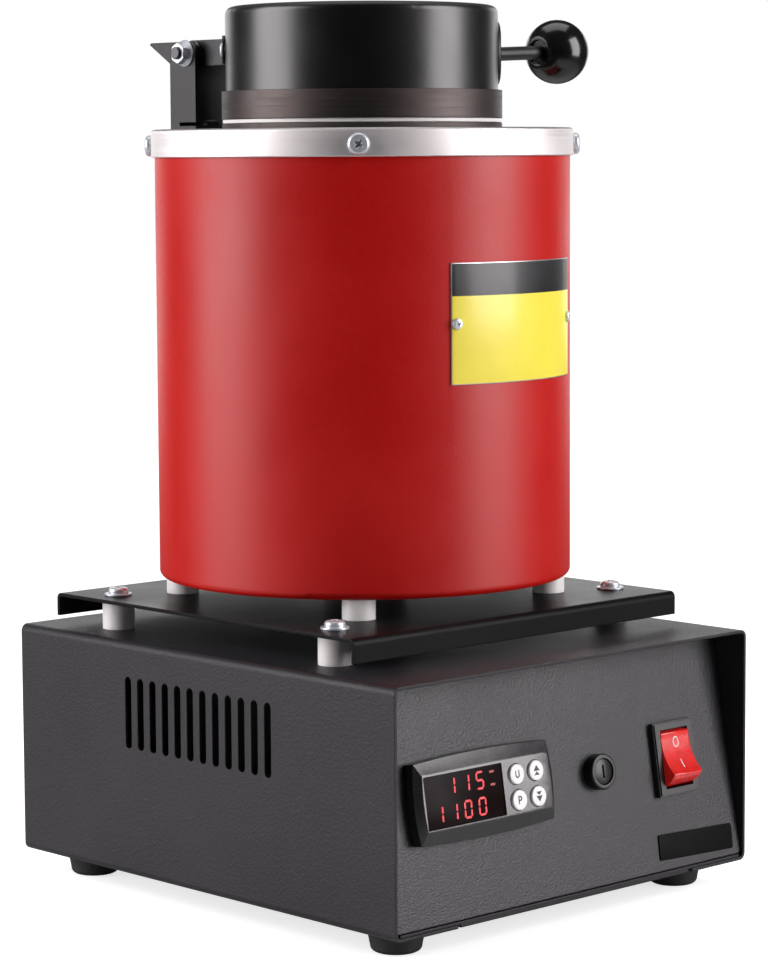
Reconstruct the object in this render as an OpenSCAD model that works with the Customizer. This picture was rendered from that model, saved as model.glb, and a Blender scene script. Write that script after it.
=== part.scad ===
// Electric crucible furnace for melting precious metal.
// A low control box on rubber feet carries a tray on ceramic standoffs. A steel drum stands on
// the tray on a second set of standoffs, with a hinged lid on its top ring.
// Millimetres, +Z up. The front panel faces -Y and the lid hinge is at +Y.

/* [Control box] */
// Width of the casing
casing_w = 204; // [190:1:220]
// Depth of the casing
casing_d = 231.4; // [215:0.2:250]
// Height of the casing without its feet
casing_h = 98; // [90:1:110]
// Thickness of the casing sheet
sheet = 1.2; // [1:0.1:2]
// Outer radius of the casing bends
casing_bend_r = 3; // [2:0.5:5]
// Number of ventilation slots in each side
vent_count = 12; // [4:1:14]
// Distance from slot to slot
vent_pitch = 7.9; // [6:0.1:8]
// Length of a ventilation slot
vent_length = 30; // [16:1:36]
// Width of a ventilation slot
vent_width = 4; // [2:0.5:4.5]
// Backward lean of the front panel, in degrees
panel_tilt = 9.1; // [5:0.1:12]
// Setback of the front panel's lower edge from the casing's front edge
panel_setback = 0.7; // [0.5:0.1:3]
// Thickness of the front panel
panel_t = 1.5; // [1:0.1:2]

/* [Feet] */
// Height of a rubber foot
foot_h = 10; // [8:0.5:14]
// Diameter of a foot at its top
foot_top_d = 23.5; // [18:0.5:26]
// Diameter of a foot at the floor
foot_bottom_d = 20.5; // [16:0.5:22]
// Distance between feet from left to right
foot_span_x = 162; // [150:1:170]
// Distance between feet from front to back
foot_span_y = 188; // [170:1:200]

/* [Controller] */
// Width of the temperature controller's face
controller_w = 75; // [70:0.5:80]
// Height of the controller's face at its ends
controller_h = 32; // [30:0.5:36]
// Rise of the curved top and bottom edges
controller_bulge = 1.3; // [0.5:0.1:2]
// How far the face stands off the panel
controller_proud = 7; // [6:0.5:9]
// Centre of the controller from the middle of the panel
controller_x = -51.7; // [-56:0.1:-48]
// Height of the controller's centre above the floor
controller_z = 59.5; // [56:0.5:64]
// Width of the display window
window_w = 42.6; // [38:0.1:46]
// Height of the display window
window_h = 20; // [16:0.5:22]
// Diameter of a key
key_d = 8.8; // [7:0.1:9.2]
// Travel of a key
key_travel = 0.8; // [0.5:0.1:1]

/* [Switch and fuse] */
// Width of the power switch frame
switch_w = 24; // [20:0.5:26]
// Height of the power switch frame
switch_h = 30.7; // [28:0.1:33]
// How far the switch frame stands off the panel
switch_proud = 3; // [2:0.5:4]
// Centre of the switch from the middle of the panel
switch_x = 64.5; // [60:0.5:70]
// Height of the switch centre above the floor
switch_z = 57.5; // [54:0.5:62]
// Angle between the two positions of the rocker
rocker_throw = 34; // [24:1:36]
// Diameter of the fuse holder's body
fuse_d = 14.6; // [13:0.1:16]
// How far the fuse holder stands off the panel
fuse_proud = 4.8; // [4:0.1:6]
// Centre of the fuse holder from the middle of the panel
fuse_x = 18.4; // [14:0.1:24]
// Height of the fuse holder's centre above the floor
fuse_z = 58; // [54:0.5:62]

/* [Tray and standoffs] */
// Width and depth of the tray
tray_size = 186; // [176:1:190]
// Thickness of the tray sheet
tray_t = 1.5; // [1.2:0.1:2]
// Height of the tray's front and back flanges
tray_flange_h = 9.7; // [8:0.1:12]
// Distance of the tray's centre behind the middle of the casing
tray_y = 9; // [5:0.5:14]
// Diameter of a ceramic standoff
standoff_d = 13.6; // [12:0.1:15]
// Height of the standoffs under the tray
lower_standoff_h = 12.5; // [10:0.5:16]
// Distance between lower standoffs from left to right
lower_span_x = 159.6; // [150:0.2:164]
// Distance between lower standoffs from front to back
lower_span_y = 135.6; // [120:0.2:145]
// Height of the standoffs under the drum
upper_standoff_h = 8.5; // [7:0.5:12]
// Radius of the circle on which the upper standoffs stand
upper_circle_r = 77.8; // [70:0.2:78]

/* [Drum] */
// Outer radius of the drum
drum_r = 87; // [84:0.5:88]
// Thickness of the drum sheet
drum_t = 1; // [0.8:0.1:1.5]
// Visible height of the drum below the top ring
drum_h = 175.8; // [150:0.2:190]
// Outer radius of the top ring
ring_r = 90; // [89.5:0.5:92]
// Height of the top ring
ring_h = 11.5; // [9:0.5:14]
// Radius of the opening in the top ring
ring_bore_r = 57.2; // [56:0.1:58]
// Radius of the heating chamber
chamber_r = 38; // [36:0.5:40]
// Depth of the heating chamber
chamber_depth = 142; // [130:1:150]
// Outer radius of the crucible at its rim
crucible_r = 32; // [30:0.5:34]
// Height of the crucible
crucible_h = 125; // [110:1:128]

/* [Lid] */
// Outer radius of the painted lid cover
lid_r = 57; // [56:0.2:58]
// Height of the lid above the mouth ring, cover and band together
lid_h = 48.2; // [44:0.2:52]
// Outer radius of the steel band round the lid's foot
band_r = 58.7; // [58:0.1:60]
// Height of the steel band
band_h = 11.7; // [10:0.1:14]
// How far the ceramic disc shows under the band
ceramic_reveal = 1.6; // [1:0.1:3]
// Distance of the ball's centre from the lid's axis
ball_reach = 118.5; // [110:0.5:124]
// Radius of the ball knob
ball_r = 14.2; // [12:0.1:15]
// Diameter of the handle rod
rod_d = 6; // [5:0.1:7]
// Upward lean of the handle rod, in degrees
rod_tilt = 2.5; // [0:0.5:4]

/* [Hinge] */
// Distance of the hinge pin behind the lid's axis
pivot_y = 82.8; // [80:0.2:85]
// Height of the hinge pin above the top ring
pivot_rise = 33.1; // [30:0.1:36]
// Width across the bracket's two cheeks
bracket_w = 53.4; // [48:0.2:58]
// Thickness of the bracket and arm sheet
hinge_t = 1.5; // [1.2:0.1:2]
// Width across the arm's two side plates
arm_w = 43.8; // [38:0.2:45]
// Diameter of the hinge pin
pin_d = 5; // [4:0.5:6]

/* [Label plate] */
// Angle of the plate's middle round the drum
label_angle = -83.8; // [-100:0.2:-70]
// Angle that the plate covers
label_span = 51.7; // [40:0.1:60]
// Height of the plate
label_h = 48.5; // [40:0.5:55]
// Height of the plate's middle above the floor
label_z = 240; // [220:0.5:270]

/* [Hidden] */
$fn = 72;

// Clearance between pieces that fit in one another
gap = 0.1;
// Clearance between the lid and what it closes
lid_gap = 0.2;
// Clearance under what sits on the leaning panel
seat = 0.02;
// Extra length of a cutting shape past the face that it cuts
over = 1;

// Heights above the floor
casing_top = foot_h + casing_h;
tray_top = casing_top + lower_standoff_h + tray_t;
drum_bottom = tray_top + upper_standoff_h;
ring_bottom = drum_bottom + drum_h;
ring_top = ring_bottom + ring_h;
mouth_flange_h = 2.2;
mouth_top = ring_top + mouth_flange_h;
lid_bottom = mouth_top + lid_gap;
band_bottom = lid_bottom + ceramic_reveal;
band_top = band_bottom + band_h;
lid_top = lid_bottom + lid_h;
pivot_z = ring_top + pivot_rise;
handle_z = lid_bottom + 29;

// Keys and window on the controller's face
key_x = [17.8, 28.8];
key_y = [4.9, -5.2];
window_x = -10.6;

// Side view of the hinge bracket: cheek, skirt behind the ring, ear
cheek_front = pivot_y - 6.4;
cheek_rear = pivot_y + 10.5;
cheek_top = pivot_z + 5;
cheek_low = ring_top + 3.5;
skirt_low = ring_top - 8.8;
skirt_front = 87.3;
ear_tip = pivot_y + 24.1;
ear_low = pivot_z - 4.2;

// The frame's origin is the middle of the whole outline on the floor: the ball knob reaches
// past the casing at +X, the controller's lower keys at -Y and the hinge bracket at +Y
ball_side = ball_reach + ball_r;
key_edge_r = 0.8;
key_crown = controller_proud + 1.5;
front_reach = (key_crown - key_edge_r) * cos(panel_tilt) + key_edge_r
    + (key_d / 2 - key_edge_r - key_y[1]) * sin(panel_tilt) - panel_y(controller_z);
rear_reach = tray_y + ear_tip;
shift_x = (casing_w / 2 - ball_side) / 2;
shift_y = (front_reach - rear_reach) / 2;

// Colours
black_paint = [0.12, 0.12, 0.125];
panel_black = [0.17, 0.17, 0.18];
drum_red = [0.78, 0.17, 0.1];
bare_steel = [0.75, 0.75, 0.76];
zinc = [0.7, 0.72, 0.74];
white_ceramic = [0.93, 0.92, 0.88];
rubber_black = [0.09, 0.09, 0.09];
gloss_black = [0.05, 0.05, 0.055];
stained_steel = [0.3, 0.28, 0.26];
graphite = [0.22, 0.22, 0.23];

// Places and directions

module on_casing(z = 0) {
    translate([shift_x, shift_y, z]) children();
}

module on_tray(z = 0) {
    on_casing(z) translate([0, tray_y, 0]) children();
}

// Distance of the panel's outer face from the middle of the casing at a height above the floor
function panel_y(z) = panel_setback - casing_d / 2 + tan(panel_tilt) * (z - foot_h);

// Puts children on the front panel: x across, y up the slope, z out of the panel
module on_panel(x, z, out = 0) {
    on_casing(z) translate([x, panel_y(z), 0])
        rotate([90 - panel_tilt, 0, 0]) translate([0, 0, out]) children();
}

// Puts children on the drum's wall: x round the drum, y up, z out of the wall
module on_wall(angle, radius, z) {
    on_tray(z) rotate([0, 0, angle + 90]) translate([0, -radius, 0]) rotate([90, 0, 0]) children();
}

module at_corners(span_x, span_y) {
    for (sx = [-1, 1], sy = [-1, 1])
        translate([sx * span_x / 2, sy * span_y / 2, 0]) children();
}

module at_pivot() {
    on_tray(pivot_z) translate([0, pivot_y, 0]) children();
}

// Small parts used more than once

module rounded_square(w, h, r) {
    square([w - 2 * r, h], center = true);
    square([w, h - 2 * r], center = true);
    for (sx = [-1, 1], sy = [-1, 1])
        translate([sx * (w / 2 - r), sy * (h / 2 - r)]) circle(r);
}

module rounded_plate(w, h, t, r) {
    linear_extrude(t) rounded_square(w, h, r);
}

module slot_2d(length, width) {
    square([width, length - width], center = true);
    for (s = [-1, 1]) translate([0, s * (length - width) / 2]) circle(d = width, $fn = 32);
}

module tube(r_out, r_in, h) {
    difference() {
        cylinder(r = r_out, h = h);
        translate([0, 0, -over]) cylinder(r = r_in, h = h + 2 * over);
    }
}

// Pan head screw: head on z = 0 upwards, shank below, cross recess in the head
module pan_screw(head_d, head_h, shank_d, shank_l, washer_d = 0, washer_t = 0) {
    recess_w = head_d * 0.13;
    recess_l = head_d * 0.58;
    dome_r = head_h * 0.55;
    difference() {
        translate([0, 0, washer_t]) rotate_extrude($fn = 48) {
            square([head_d / 2 - dome_r, head_h]);
            square([head_d / 2, head_h - dome_r]);
            translate([head_d / 2 - dome_r, head_h - dome_r]) intersection() {
                circle(dome_r, $fn = 32);
                square(dome_r);
            }
        }
        for (turn = [0, 90]) rotate([0, 0, turn])
            translate([0, 0, washer_t + head_h])
                cube([recess_l, recess_w, head_h], center = true);
    }
    if (washer_t > 0) cylinder(d = washer_d, h = washer_t, $fn = 48);
    translate([0, 0, -shank_l]) cylinder(d = shank_d, h = shank_l + washer_t / 2, $fn = 32);
}

// Part of a tube wall between two angles, cut by wedges of a ring
module wall_sector(r_in, r_out, z_low, z_high, angle, span) {
    rotate([0, 0, angle - span / 2])
        rotate_extrude(angle = span, $fn = 180)
            translate([r_in, z_low]) square([r_out - r_in, z_high - z_low]);
}

// Control box

casing_lip = 33.5;
rear_face = casing_d / 2 - 5;

// Outline of the casing sleeve: top and two sides, with lips folded in under the box
module casing_profile() {
    inner_r = casing_bend_r - sheet;
    difference() {
        rounded_square(casing_w, casing_h, casing_bend_r);
        rounded_square(casing_w - 2 * sheet, casing_h - 2 * sheet, inner_r);
        translate([0, -casing_h / 2])
            square([casing_w - 2 * casing_lip, 4 * sheet], center = true);
    }
}

module vent_slots() {
    slot_height = 68.5;
    for (i = [0 : vent_count - 1])
        translate([0, (i - (vent_count - 1) / 2) * vent_pitch, foot_h + slot_height])
            rotate([90, 0, 90]) translate([0, 0, -casing_w / 2 - over])
                linear_extrude(casing_w + 2 * over) slot_2d(vent_length, vent_width);
}

module casing_shell() {
    tab = 12;
    color(black_paint) difference() {
        union() {
            on_casing(foot_h + casing_h / 2) rotate([90, 0, 0])
                translate([0, 0, -casing_d / 2]) linear_extrude(casing_d) casing_profile();
            for (side = [-1, 1], z = rear_screw_z) on_casing(z)
                translate([side * (casing_w - sheet - tab) / 2, rear_face - 1.5 * sheet - gap, 0])
                    cube([tab, sheet, tab], center = true);
        }
        on_casing() vent_slots();
        on_tray(casing_top - 3 * sheet) {
            at_corners(lower_span_x, lower_span_y) cylinder(d = 4.2, h = 6 * sheet, $fn = 32);
            for (s = [-1, 1]) translate([s * bushing_x, 0, 0])
                cylinder(d = bushing_d + 2 * gap, h = 6 * sheet);
        }
        on_casing(foot_h - over) at_corners(foot_span_x, foot_span_y)
            cylinder(d = 4.4, h = 3 * sheet, $fn = 32);
        at_panel_screws() cylinder(d = 3.2, h = 12, center = true, $fn = 32);
    }
}

rear_screw_z = [24, 92];

// Screws that hold the rear panel to the casing's tabs and the casing's lips to the base plate
module at_panel_screws() {
    rear_screw_x = casing_w / 2 - 7.5;
    for (side = [-1, 1], z = rear_screw_z) on_casing(z)
        translate([side * rear_screw_x, rear_face, 0]) rotate([-90, 0, 0]) children();
    on_casing(foot_h) at_corners(foot_span_x, 90) mirror([0, 0, 1]) children();
}

module panel_screws() {
    color(zinc) at_panel_screws() pan_screw(5.6, 2, 3, 5);
}

// Bottom plate: it lies on the casing's lips, with a short lip turned down behind the front edge
module base_plate() {
    plate_w = casing_w - 2 * casing_bend_r - 2 * gap;
    plate_d = casing_d - 1.2;
    flap_w = casing_w - 2 * casing_lip - 4;
    flap_t = 2.2;
    z_low = foot_h + sheet;
    color(black_paint) difference() {
        on_casing(z_low) {
            translate([-plate_w / 2, -plate_d / 2, 0]) cube([plate_w, plate_d, sheet]);
            translate([-flap_w / 2, -plate_d / 2, -sheet]) cube([flap_w, flap_t, 1.5 * sheet]);
        }
        on_casing(z_low - 5) at_corners(foot_span_x, foot_span_y)
            cylinder(d = 4.4, h = 12, $fn = 32);
        at_panel_screws() cylinder(d = 3.2, h = 12, center = true, $fn = 32);
    }
}

module front_panel() {
    plate_w = casing_w - 2 * sheet - 2 * gap;
    z_low = foot_h + 2 * sheet + 0.4;
    z_high = casing_top - sheet - 0.4;
    plate_h = (z_high - z_low) / cos(panel_tilt) - 0.4;
    flange = 9;
    color(panel_black) difference() {
        union() {
            on_panel(0, z_low, -panel_t - seat) translate([0, plate_h / 2, 0])
                rounded_plate(plate_w, plate_h, panel_t, 2.2);
            for (side = [-1, 1]) on_panel(side * (plate_w / 2 - panel_t), z_low, -flange)
                translate([-panel_t / 2, 4, 0]) cube([panel_t, plate_h - 8, flange - panel_t / 2]);
        }
        on_panel(controller_x, controller_z) cube([71.2, 29.2, 8], center = true);
        on_panel(switch_x, switch_z) cube([switch_w - 4, switch_h - 4, 8], center = true);
        on_panel(fuse_x, fuse_z) cylinder(d = 12.2, h = 8, center = true);
    }
}

// Rear panel, set a little inside the sleeve, with the inlet's opening
module rear_panel() {
    plate_w = casing_w - 2 * sheet - 2 * gap;
    z_low = foot_h + 2 * sheet + 0.2;
    z_high = casing_top - sheet - 0.2;
    color(black_paint) difference() {
        on_casing((z_low + z_high) / 2) translate([0, rear_face, 0]) rotate([90, 0, 0])
            rounded_plate(plate_w, z_high - z_low, sheet, 2.2);
        at_inlet() {
            linear_extrude(12, center = true) rounded_square(28, 20.4, 3);
            for (side = [-1, 1]) translate([side * inlet_screw_x, 0, 0])
                cylinder(d = 3.2, h = 12, center = true, $fn = 32);
        }
        at_panel_screws() cylinder(d = 3.2, h = 12, center = true, $fn = 32);
    }
}

inlet_x = -60;
inlet_z = 45;
inlet_screw_x = 20;

// Puts children on the rear panel: x to the left seen from behind, z out of the panel
module at_inlet() {
    on_casing(inlet_z) translate([inlet_x, rear_face, 0]) rotate([-90, 0, 0]) children();
}

// Three-pin mains inlet with two screw ears
module power_inlet() {
    flange_t = 2.6;
    body_l = 26;
    recess_l = 17;
    color(rubber_black) at_inlet() {
        difference() {
            union() {
                linear_extrude(flange_t) {
                    rounded_square(31, 24, 3);
                    polygon([[-25, -4], [-15, -11], [15, -11], [25, -4], [25, 4], [15, 11], [-15, 11], [-25, 4]]);
                }
                translate([0, 0, -body_l]) linear_extrude(body_l + flange_t / 2)
                    rounded_square(27.4, 19.8, 3);
            }
            translate([0, 0, flange_t - recess_l]) linear_extrude(recess_l + over)
                rounded_square(24, 16.4, 2.5);
            for (side = [-1, 1]) translate([side * inlet_screw_x, 0, -over])
                cylinder(d = 3.3, h = 8, $fn = 32);
        }
        for (pin = [[-7, 2], [0, -2], [7, 2]])
            translate([pin[0], pin[1], -body_l / 2 - 3]) cube([2, 4, 22], center = true);
    }
}

module inlet_screws() {
    color(zinc) at_inlet() for (side = [-1, 1])
        translate([side * inlet_screw_x, 0, 2.6]) pan_screw(5.6, 2, 3, 8);
}

// Feet

module rubber_feet() {
    edge_r = 2.5;
    screw_well_r = 5;
    screw_well_h = 5;
    color(rubber_black) on_casing() at_corners(foot_span_x, foot_span_y)
        rotate_extrude($fn = 60) difference() {
            union() {
                polygon([[0, 0], [foot_bottom_d / 2 - edge_r, 0], [foot_bottom_d / 2, edge_r],
                    [foot_top_d / 2, foot_h], [0, foot_h]]);
                translate([foot_bottom_d / 2 - edge_r, edge_r]) circle(edge_r, $fn = 32);
            }
            translate([-over, -over]) square([screw_well_r + over, screw_well_h + over]);
            translate([-over, -over]) square([2.1 + over, foot_h + 2 * over]);
        }
}

module foot_screws() {
    well_floor = 5;
    color(zinc) on_casing(well_floor) at_corners(foot_span_x, foot_span_y) mirror([0, 0, 1])
        pan_screw(8, 2.8, 4, 12);
}

// Controller

// Face outline: straight ends, long sides bowed out as arcs
module controller_outline(inset = 0) {
    w = controller_w - 2 * inset;
    h = controller_h - 2 * inset;
    arc_r = (w * w / 4 + controller_bulge * controller_bulge) / (2 * controller_bulge);
    intersection() {
        square([w, h + 4 * controller_bulge], center = true);
        translate([0, h / 2 + controller_bulge - arc_r]) circle(arc_r, $fn = 720);
        translate([0, arc_r - h / 2 - controller_bulge]) circle(arc_r, $fn = 720);
    }
}

// Moulded housing: skirt on the panel, a bevelled frame that steps in three stages,
// the display recess, four key bores and the long body behind the panel
module controller_housing() {
    bevel_steps = 3;
    skirt_h = controller_proud - 1.8;
    body_l = 62;
    color(gloss_black) difference() {
        union() {
            on_panel(controller_x, controller_z) linear_extrude(skirt_h) controller_outline();
            for (i = [1 : bevel_steps]) on_panel(controller_x, controller_z, skirt_h)
                linear_extrude(i * 0.6) controller_outline(i * 1.1);
            on_panel(controller_x, controller_z, -body_l)
                translate([-35.3, -14.3, 0]) cube([70.6, 28.6, body_l + over]);
        }
        on_panel(controller_x + window_x, controller_z, controller_proud - 1.2)
            linear_extrude(4) square([window_w, window_h], center = true);
        for (x = key_x, y = key_y)
            on_panel(controller_x, controller_z, controller_proud - 4) translate([x, y, 0])
                cylinder(d = key_d + 0.3, h = 6);
    }
}

module display_window() {
    color([0.1, 0.02, 0.02]) on_panel(controller_x + window_x, controller_z, controller_proud - 1.2)
        linear_extrude(0.9) square([window_w - gap, window_h - gap], center = true);
}

// Round key with a domed front; its stem end stays clear of the bore's floor by the travel
module key_cap(x, y) {
    stem_low = controller_proud - 4 + key_travel + 0.2;
    flat_r = key_d / 2 - key_edge_r;
    color(white_ceramic) on_panel(controller_x, controller_z) translate([x, y, 0])
        rotate_extrude($fn = 48) {
            translate([0, stem_low]) square([flat_r, key_crown - stem_low]);
            translate([0, stem_low]) square([key_d / 2, key_crown - stem_low - key_edge_r]);
            translate([flat_r, key_crown - key_edge_r]) circle(key_edge_r, $fn = 24);
        }
}

module key_upper_left() { key_cap(key_x[0], key_y[0]); }
module key_upper_right() { key_cap(key_x[1], key_y[0]); }
module key_lower_left() { key_cap(key_x[0], key_y[1]); }
module key_lower_right() { key_cap(key_x[1], key_y[1]); }

// Fuse

fuse_bore_r = 5.4;

// Panel-mounted holder: round bezel, threaded barrel behind the panel, open bore for the fuse
module fuse_holder() {
    barrel_l = 34;
    color(rubber_black) on_panel(fuse_x, fuse_z) difference() {
        union() {
            rotate_extrude() {
                square([fuse_d / 2 - 0.8, fuse_proud]);
                square([fuse_d / 2, fuse_proud - 0.8]);
                translate([fuse_d / 2 - 0.8, fuse_proud - 0.8]) circle(0.8, $fn = 24);
            }
            translate([0, 0, -barrel_l]) cylinder(d = 12, h = barrel_l + over);
            translate([0, 0, -panel_t - 4.1]) cylinder(d = 17, h = 4, $fn = 6);
        }
        translate([0, 0, -28]) cylinder(r = fuse_bore_r, h = 40);
    }
}

// Glass fuse in its clip
module fuse_tube() {
    fuse_l = 20;
    end_l = 5;
    color(zinc) on_panel(fuse_x, fuse_z) translate([0, 0, -fuse_l - 2]) {
        cylinder(d = 4.8, h = fuse_l, $fn = 32);
        for (z = [0, fuse_l - end_l]) translate([0, 0, z]) cylinder(d = 5.2, h = end_l, $fn = 32);
    }
}

// Cap with a screwdriver slot, sunk a little inside the holder's rim
module fuse_cap() {
    cap_r = fuse_bore_r - 0.2;
    cap_top = fuse_proud - 0.5;
    color(rubber_black) on_panel(fuse_x, fuse_z) difference() {
        union() {
            translate([0, 0, 0]) cylinder(r = cap_r, h = cap_top);
            translate([0, 0, -1.8]) tube(3.6, 2.7, 2);
        }
        translate([0, 0, cap_top]) cube([1.3, 7.4, 2.4], center = true);
    }
}

// Power switch

rocker_axis_out = -1;
rocker_w = switch_w - 8;
rocker_r = (switch_h - 6.8) / 2;
trunnion_d = 3;

module rocker_frame() {
    body_l = 24;
    window = [rocker_w + 0.6, switch_h - 6.4];
    color(gloss_black) on_panel(switch_x, switch_z) difference() {
        union() {
            linear_extrude(switch_proud - 0.6) rounded_square(switch_w, switch_h, 0.8);
            linear_extrude(switch_proud) rounded_square(switch_w - 1.2, switch_h - 1.2, 0.6);
            translate([0, 0, -body_l]) linear_extrude(body_l + over)
                square([switch_w - 4.4, switch_h - 4.4], center = true);
        }
        translate([0, 0, -16]) linear_extrude(30) square(window, center = true);
        translate([0, 0, rocker_axis_out]) rotate([0, 90, 0])
            cylinder(d = trunnion_d + 0.1, h = switch_w - 5.2, center = true, $fn = 48);
    }
}

// Rocker: its ends follow a circle round the pivot and its front is hollowed. At rest the upper
// end is pressed in, so the profile is drawn level and then turned by half the throw
module rocker_button() {
    lip_out = 6.7;
    hollow = 1.8;
    half = sqrt(rocker_r * rocker_r - lip_out * lip_out);
    front_r = (half * half + hollow * hollow) / (2 * hollow);
    color([0.8, 0.05, 0.04]) on_panel(switch_x, switch_z, rocker_axis_out)
        rotate([-rocker_throw / 2, 0, 0]) {
            rotate([90, 0, 90]) translate([0, 0, -rocker_w / 2]) linear_extrude(rocker_w)
                difference() {
                    intersection() {
                        circle(rocker_r, $fn = 144);
                        polygon([[-rocker_r, -2], [0, -7], [rocker_r, -2], [rocker_r, lip_out],
                            [-rocker_r, lip_out]]);
                    }
                    translate([0, lip_out + front_r - hollow]) circle(front_r, $fn = 360);
                }
            rotate([0, 90, 0])
                cylinder(d = trunnion_d, h = rocker_w + 2, center = true, $fn = 48);
        }
}

// Inside the box

module relay() {
    color([0.85, 0.85, 0.82]) on_casing(foot_h + 2 * sheet) translate([10, 40, 0]) {
        translate([-22.5, -30, 0]) cube([45, 60, 22]);
        for (s = [-1, 1]) translate([0, s * 23, 11.5]) cube([40, 11, 23], center = true);
    }
}

module terminal_block() {
    color(white_ceramic) on_casing(foot_h + 2 * sheet) translate([-55, 30, 0]) difference() {
        translate([-18, -12, 0]) cube([36, 24, 18]);
        for (x = [-10, 10]) translate([x, 0, 6]) cylinder(d = 6, h = 14, $fn = 32);
    }
}

// Tray and standoffs

bushing_x = 16;
bushing_d = 12;

module standoff(h, bore) {
    tube(standoff_d / 2, bore / 2, h);
}

module lower_standoffs() {
    color(white_ceramic) on_tray(casing_top) at_corners(lower_span_x, lower_span_y)
        standoff(lower_standoff_h, 4.4);
}

// Flat sheet with flanges bent down along the front and the back
module tray() {
    bend_r = 2.5;
    half = tray_size / 2;
    color(black_paint) difference() {
        on_tray(tray_top) rotate([90, 0, 90]) translate([0, 0, -half]) linear_extrude(tray_size)
            difference() {
                union() {
                    translate([-half + bend_r, -tray_t]) square([tray_size - 2 * bend_r, tray_t]);
                    for (s = [-1, 1]) {
                        translate([s * (half - bend_r), -bend_r]) circle(bend_r, $fn = 48);
                        translate([s * (half - tray_t / 2) - tray_t / 2, -tray_flange_h])
                            square([tray_t, tray_flange_h - bend_r]);
                    }
                }
                for (s = [-1, 1]) translate([s * (half - bend_r), -bend_r]) {
                    circle(bend_r - tray_t, $fn = 48);
                    translate([s < 0 ? 0 : -2 * bend_r, -3 * bend_r]) square([2 * bend_r, 3 * bend_r + 1]);
                    translate([-bend_r + tray_t, -2 * bend_r]) square([2 * (bend_r - tray_t), 2 * bend_r]);
                }
            }
        on_tray(tray_top - 3 * tray_t) {
            at_corners(lower_span_x, lower_span_y) cylinder(d = 4.4, h = 6 * tray_t, $fn = 32);
            at_drum_screws() cylinder(d = 4.4, h = 6 * tray_t, $fn = 32);
            for (s = [-1, 1]) translate([s * bushing_x, 0, 0])
                cylinder(d = bushing_d + 2 * gap, h = 6 * tray_t);
        }
    }
}

module tray_screws() {
    color(zinc) on_tray(tray_top) at_corners(lower_span_x, lower_span_y)
        pan_screw(8.4, 2.8, 4, tray_t + lower_standoff_h + sheet + 3, 11.5, 0.9);
}

module upper_standoffs() {
    color(white_ceramic) on_tray(tray_top) at_drum_screws() standoff(upper_standoff_h, 4.4);
}

module at_drum_screws() {
    rotate([0, 0, 45]) for (a = [0 : 90 : 270]) rotate([0, 0, a])
        translate([upper_circle_r, 0, 0]) children();
}

// Screws from under the tray, up through the standoffs into the drum's floor
module drum_screws() {
    reach = tray_t + upper_standoff_h + drum_t + drum_floor_t - 0.4;
    color(zinc) on_tray(tray_top - tray_t) mirror([0, 0, 1]) at_drum_screws()
        pan_screw(8, 2.6, 4, reach);
}

// Ceramic tubes that carry the heater and sensor leads from the drum down into the box
module lead_bushings() {
    z_low = casing_top - 8;
    color(white_ceramic) on_tray(z_low) for (s = [-1, 1]) translate([s * bushing_x, 0, 0])
        tube(bushing_d / 2, 3, drum_bottom + 6 - z_low);
}

// Drum

// Rolled shell: a rounded foot turned in as a lip, open at the top under the ring
module drum_shell() {
    foot_r = 3;
    lip_r = drum_r - 12;
    wall_top = ring_top - ring_deck;
    color(drum_red) difference() {
        on_tray() rotate_extrude($fn = 180) {
            translate([drum_r - drum_t, drum_bottom + foot_r])
                square([drum_t, wall_top - drum_bottom - foot_r]);
            translate([lip_r, drum_bottom]) square([drum_r - foot_r - lip_r, drum_t]);
            translate([drum_r - foot_r, drum_bottom + foot_r]) difference() {
                circle(foot_r, $fn = 48);
                circle(foot_r - drum_t, $fn = 48);
                translate([-foot_r - over, -foot_r - over]) square([foot_r + over, 3 * foot_r]);
                translate([-foot_r, 0]) square([2 * foot_r + over, foot_r + over]);
            }
        }
        on_tray(drum_bottom - over) at_drum_screws() cylinder(d = 4.4, h = 4, $fn = 32);
        at_ring_screws() cylinder(d = 4.2, h = 12, center = true, $fn = 32);
        at_label_screws() cylinder(d = 2.7, h = 8, center = true, $fn = 32);
    }
}

drum_floor_t = 3;

module drum_floor() {
    floor_r = drum_r - drum_t - 3;
    color(bare_steel) on_tray(drum_bottom + drum_t) difference() {
        cylinder(r = floor_r, h = drum_floor_t, $fn = 180);
        for (s = [-1, 1]) translate([s * bushing_x, 0, -over])
            cylinder(d = bushing_d + 2 * gap, h = drum_floor_t + 2 * over);
        at_drum_screws() translate([0, 0, -over])
            cylinder(d = 4.2, h = drum_floor_t + 2 * over, $fn = 32);
        translate([0, thermo_y, -over]) cylinder(d = 6.4, h = drum_floor_t + 2 * over, $fn = 32);
    }
}

core_wall = 11;
core_top = ring_top - 9;
core_bottom = core_top - chamber_depth - 12;
thermo_y = -34.5;

// Ceramic fibre packed between the drum and the heater core
module insulation() {
    z_low = drum_bottom + drum_t + drum_floor_t;
    color([0.95, 0.94, 0.9]) on_tray() difference() {
        union() {
            translate([0, 0, z_low])
                cylinder(r = drum_r - drum_t - 1, h = core_top - z_low, $fn = 180);
            translate([0, 0, core_top - over])
                cylinder(r = drum_r - 7, h = ring_top - ring_deck - core_top + over - gap, $fn = 180);
        }
        translate([0, 0, core_top]) cylinder(r = ring_bore_r + gap, h = 20, $fn = 120);
        translate([0, 0, core_bottom])
            cylinder(r = chamber_r + core_wall + gap, h = chamber_depth + 20);
        for (s = [-1, 1]) translate([s * bushing_x, 0, z_low - over])
            cylinder(d = bushing_d + 2 * gap, h = 6);
        translate([0, thermo_y, z_low - over]) cylinder(d = 6.4, h = core_bottom - z_low + 2 * over, $fn = 32);
    }
}

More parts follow.
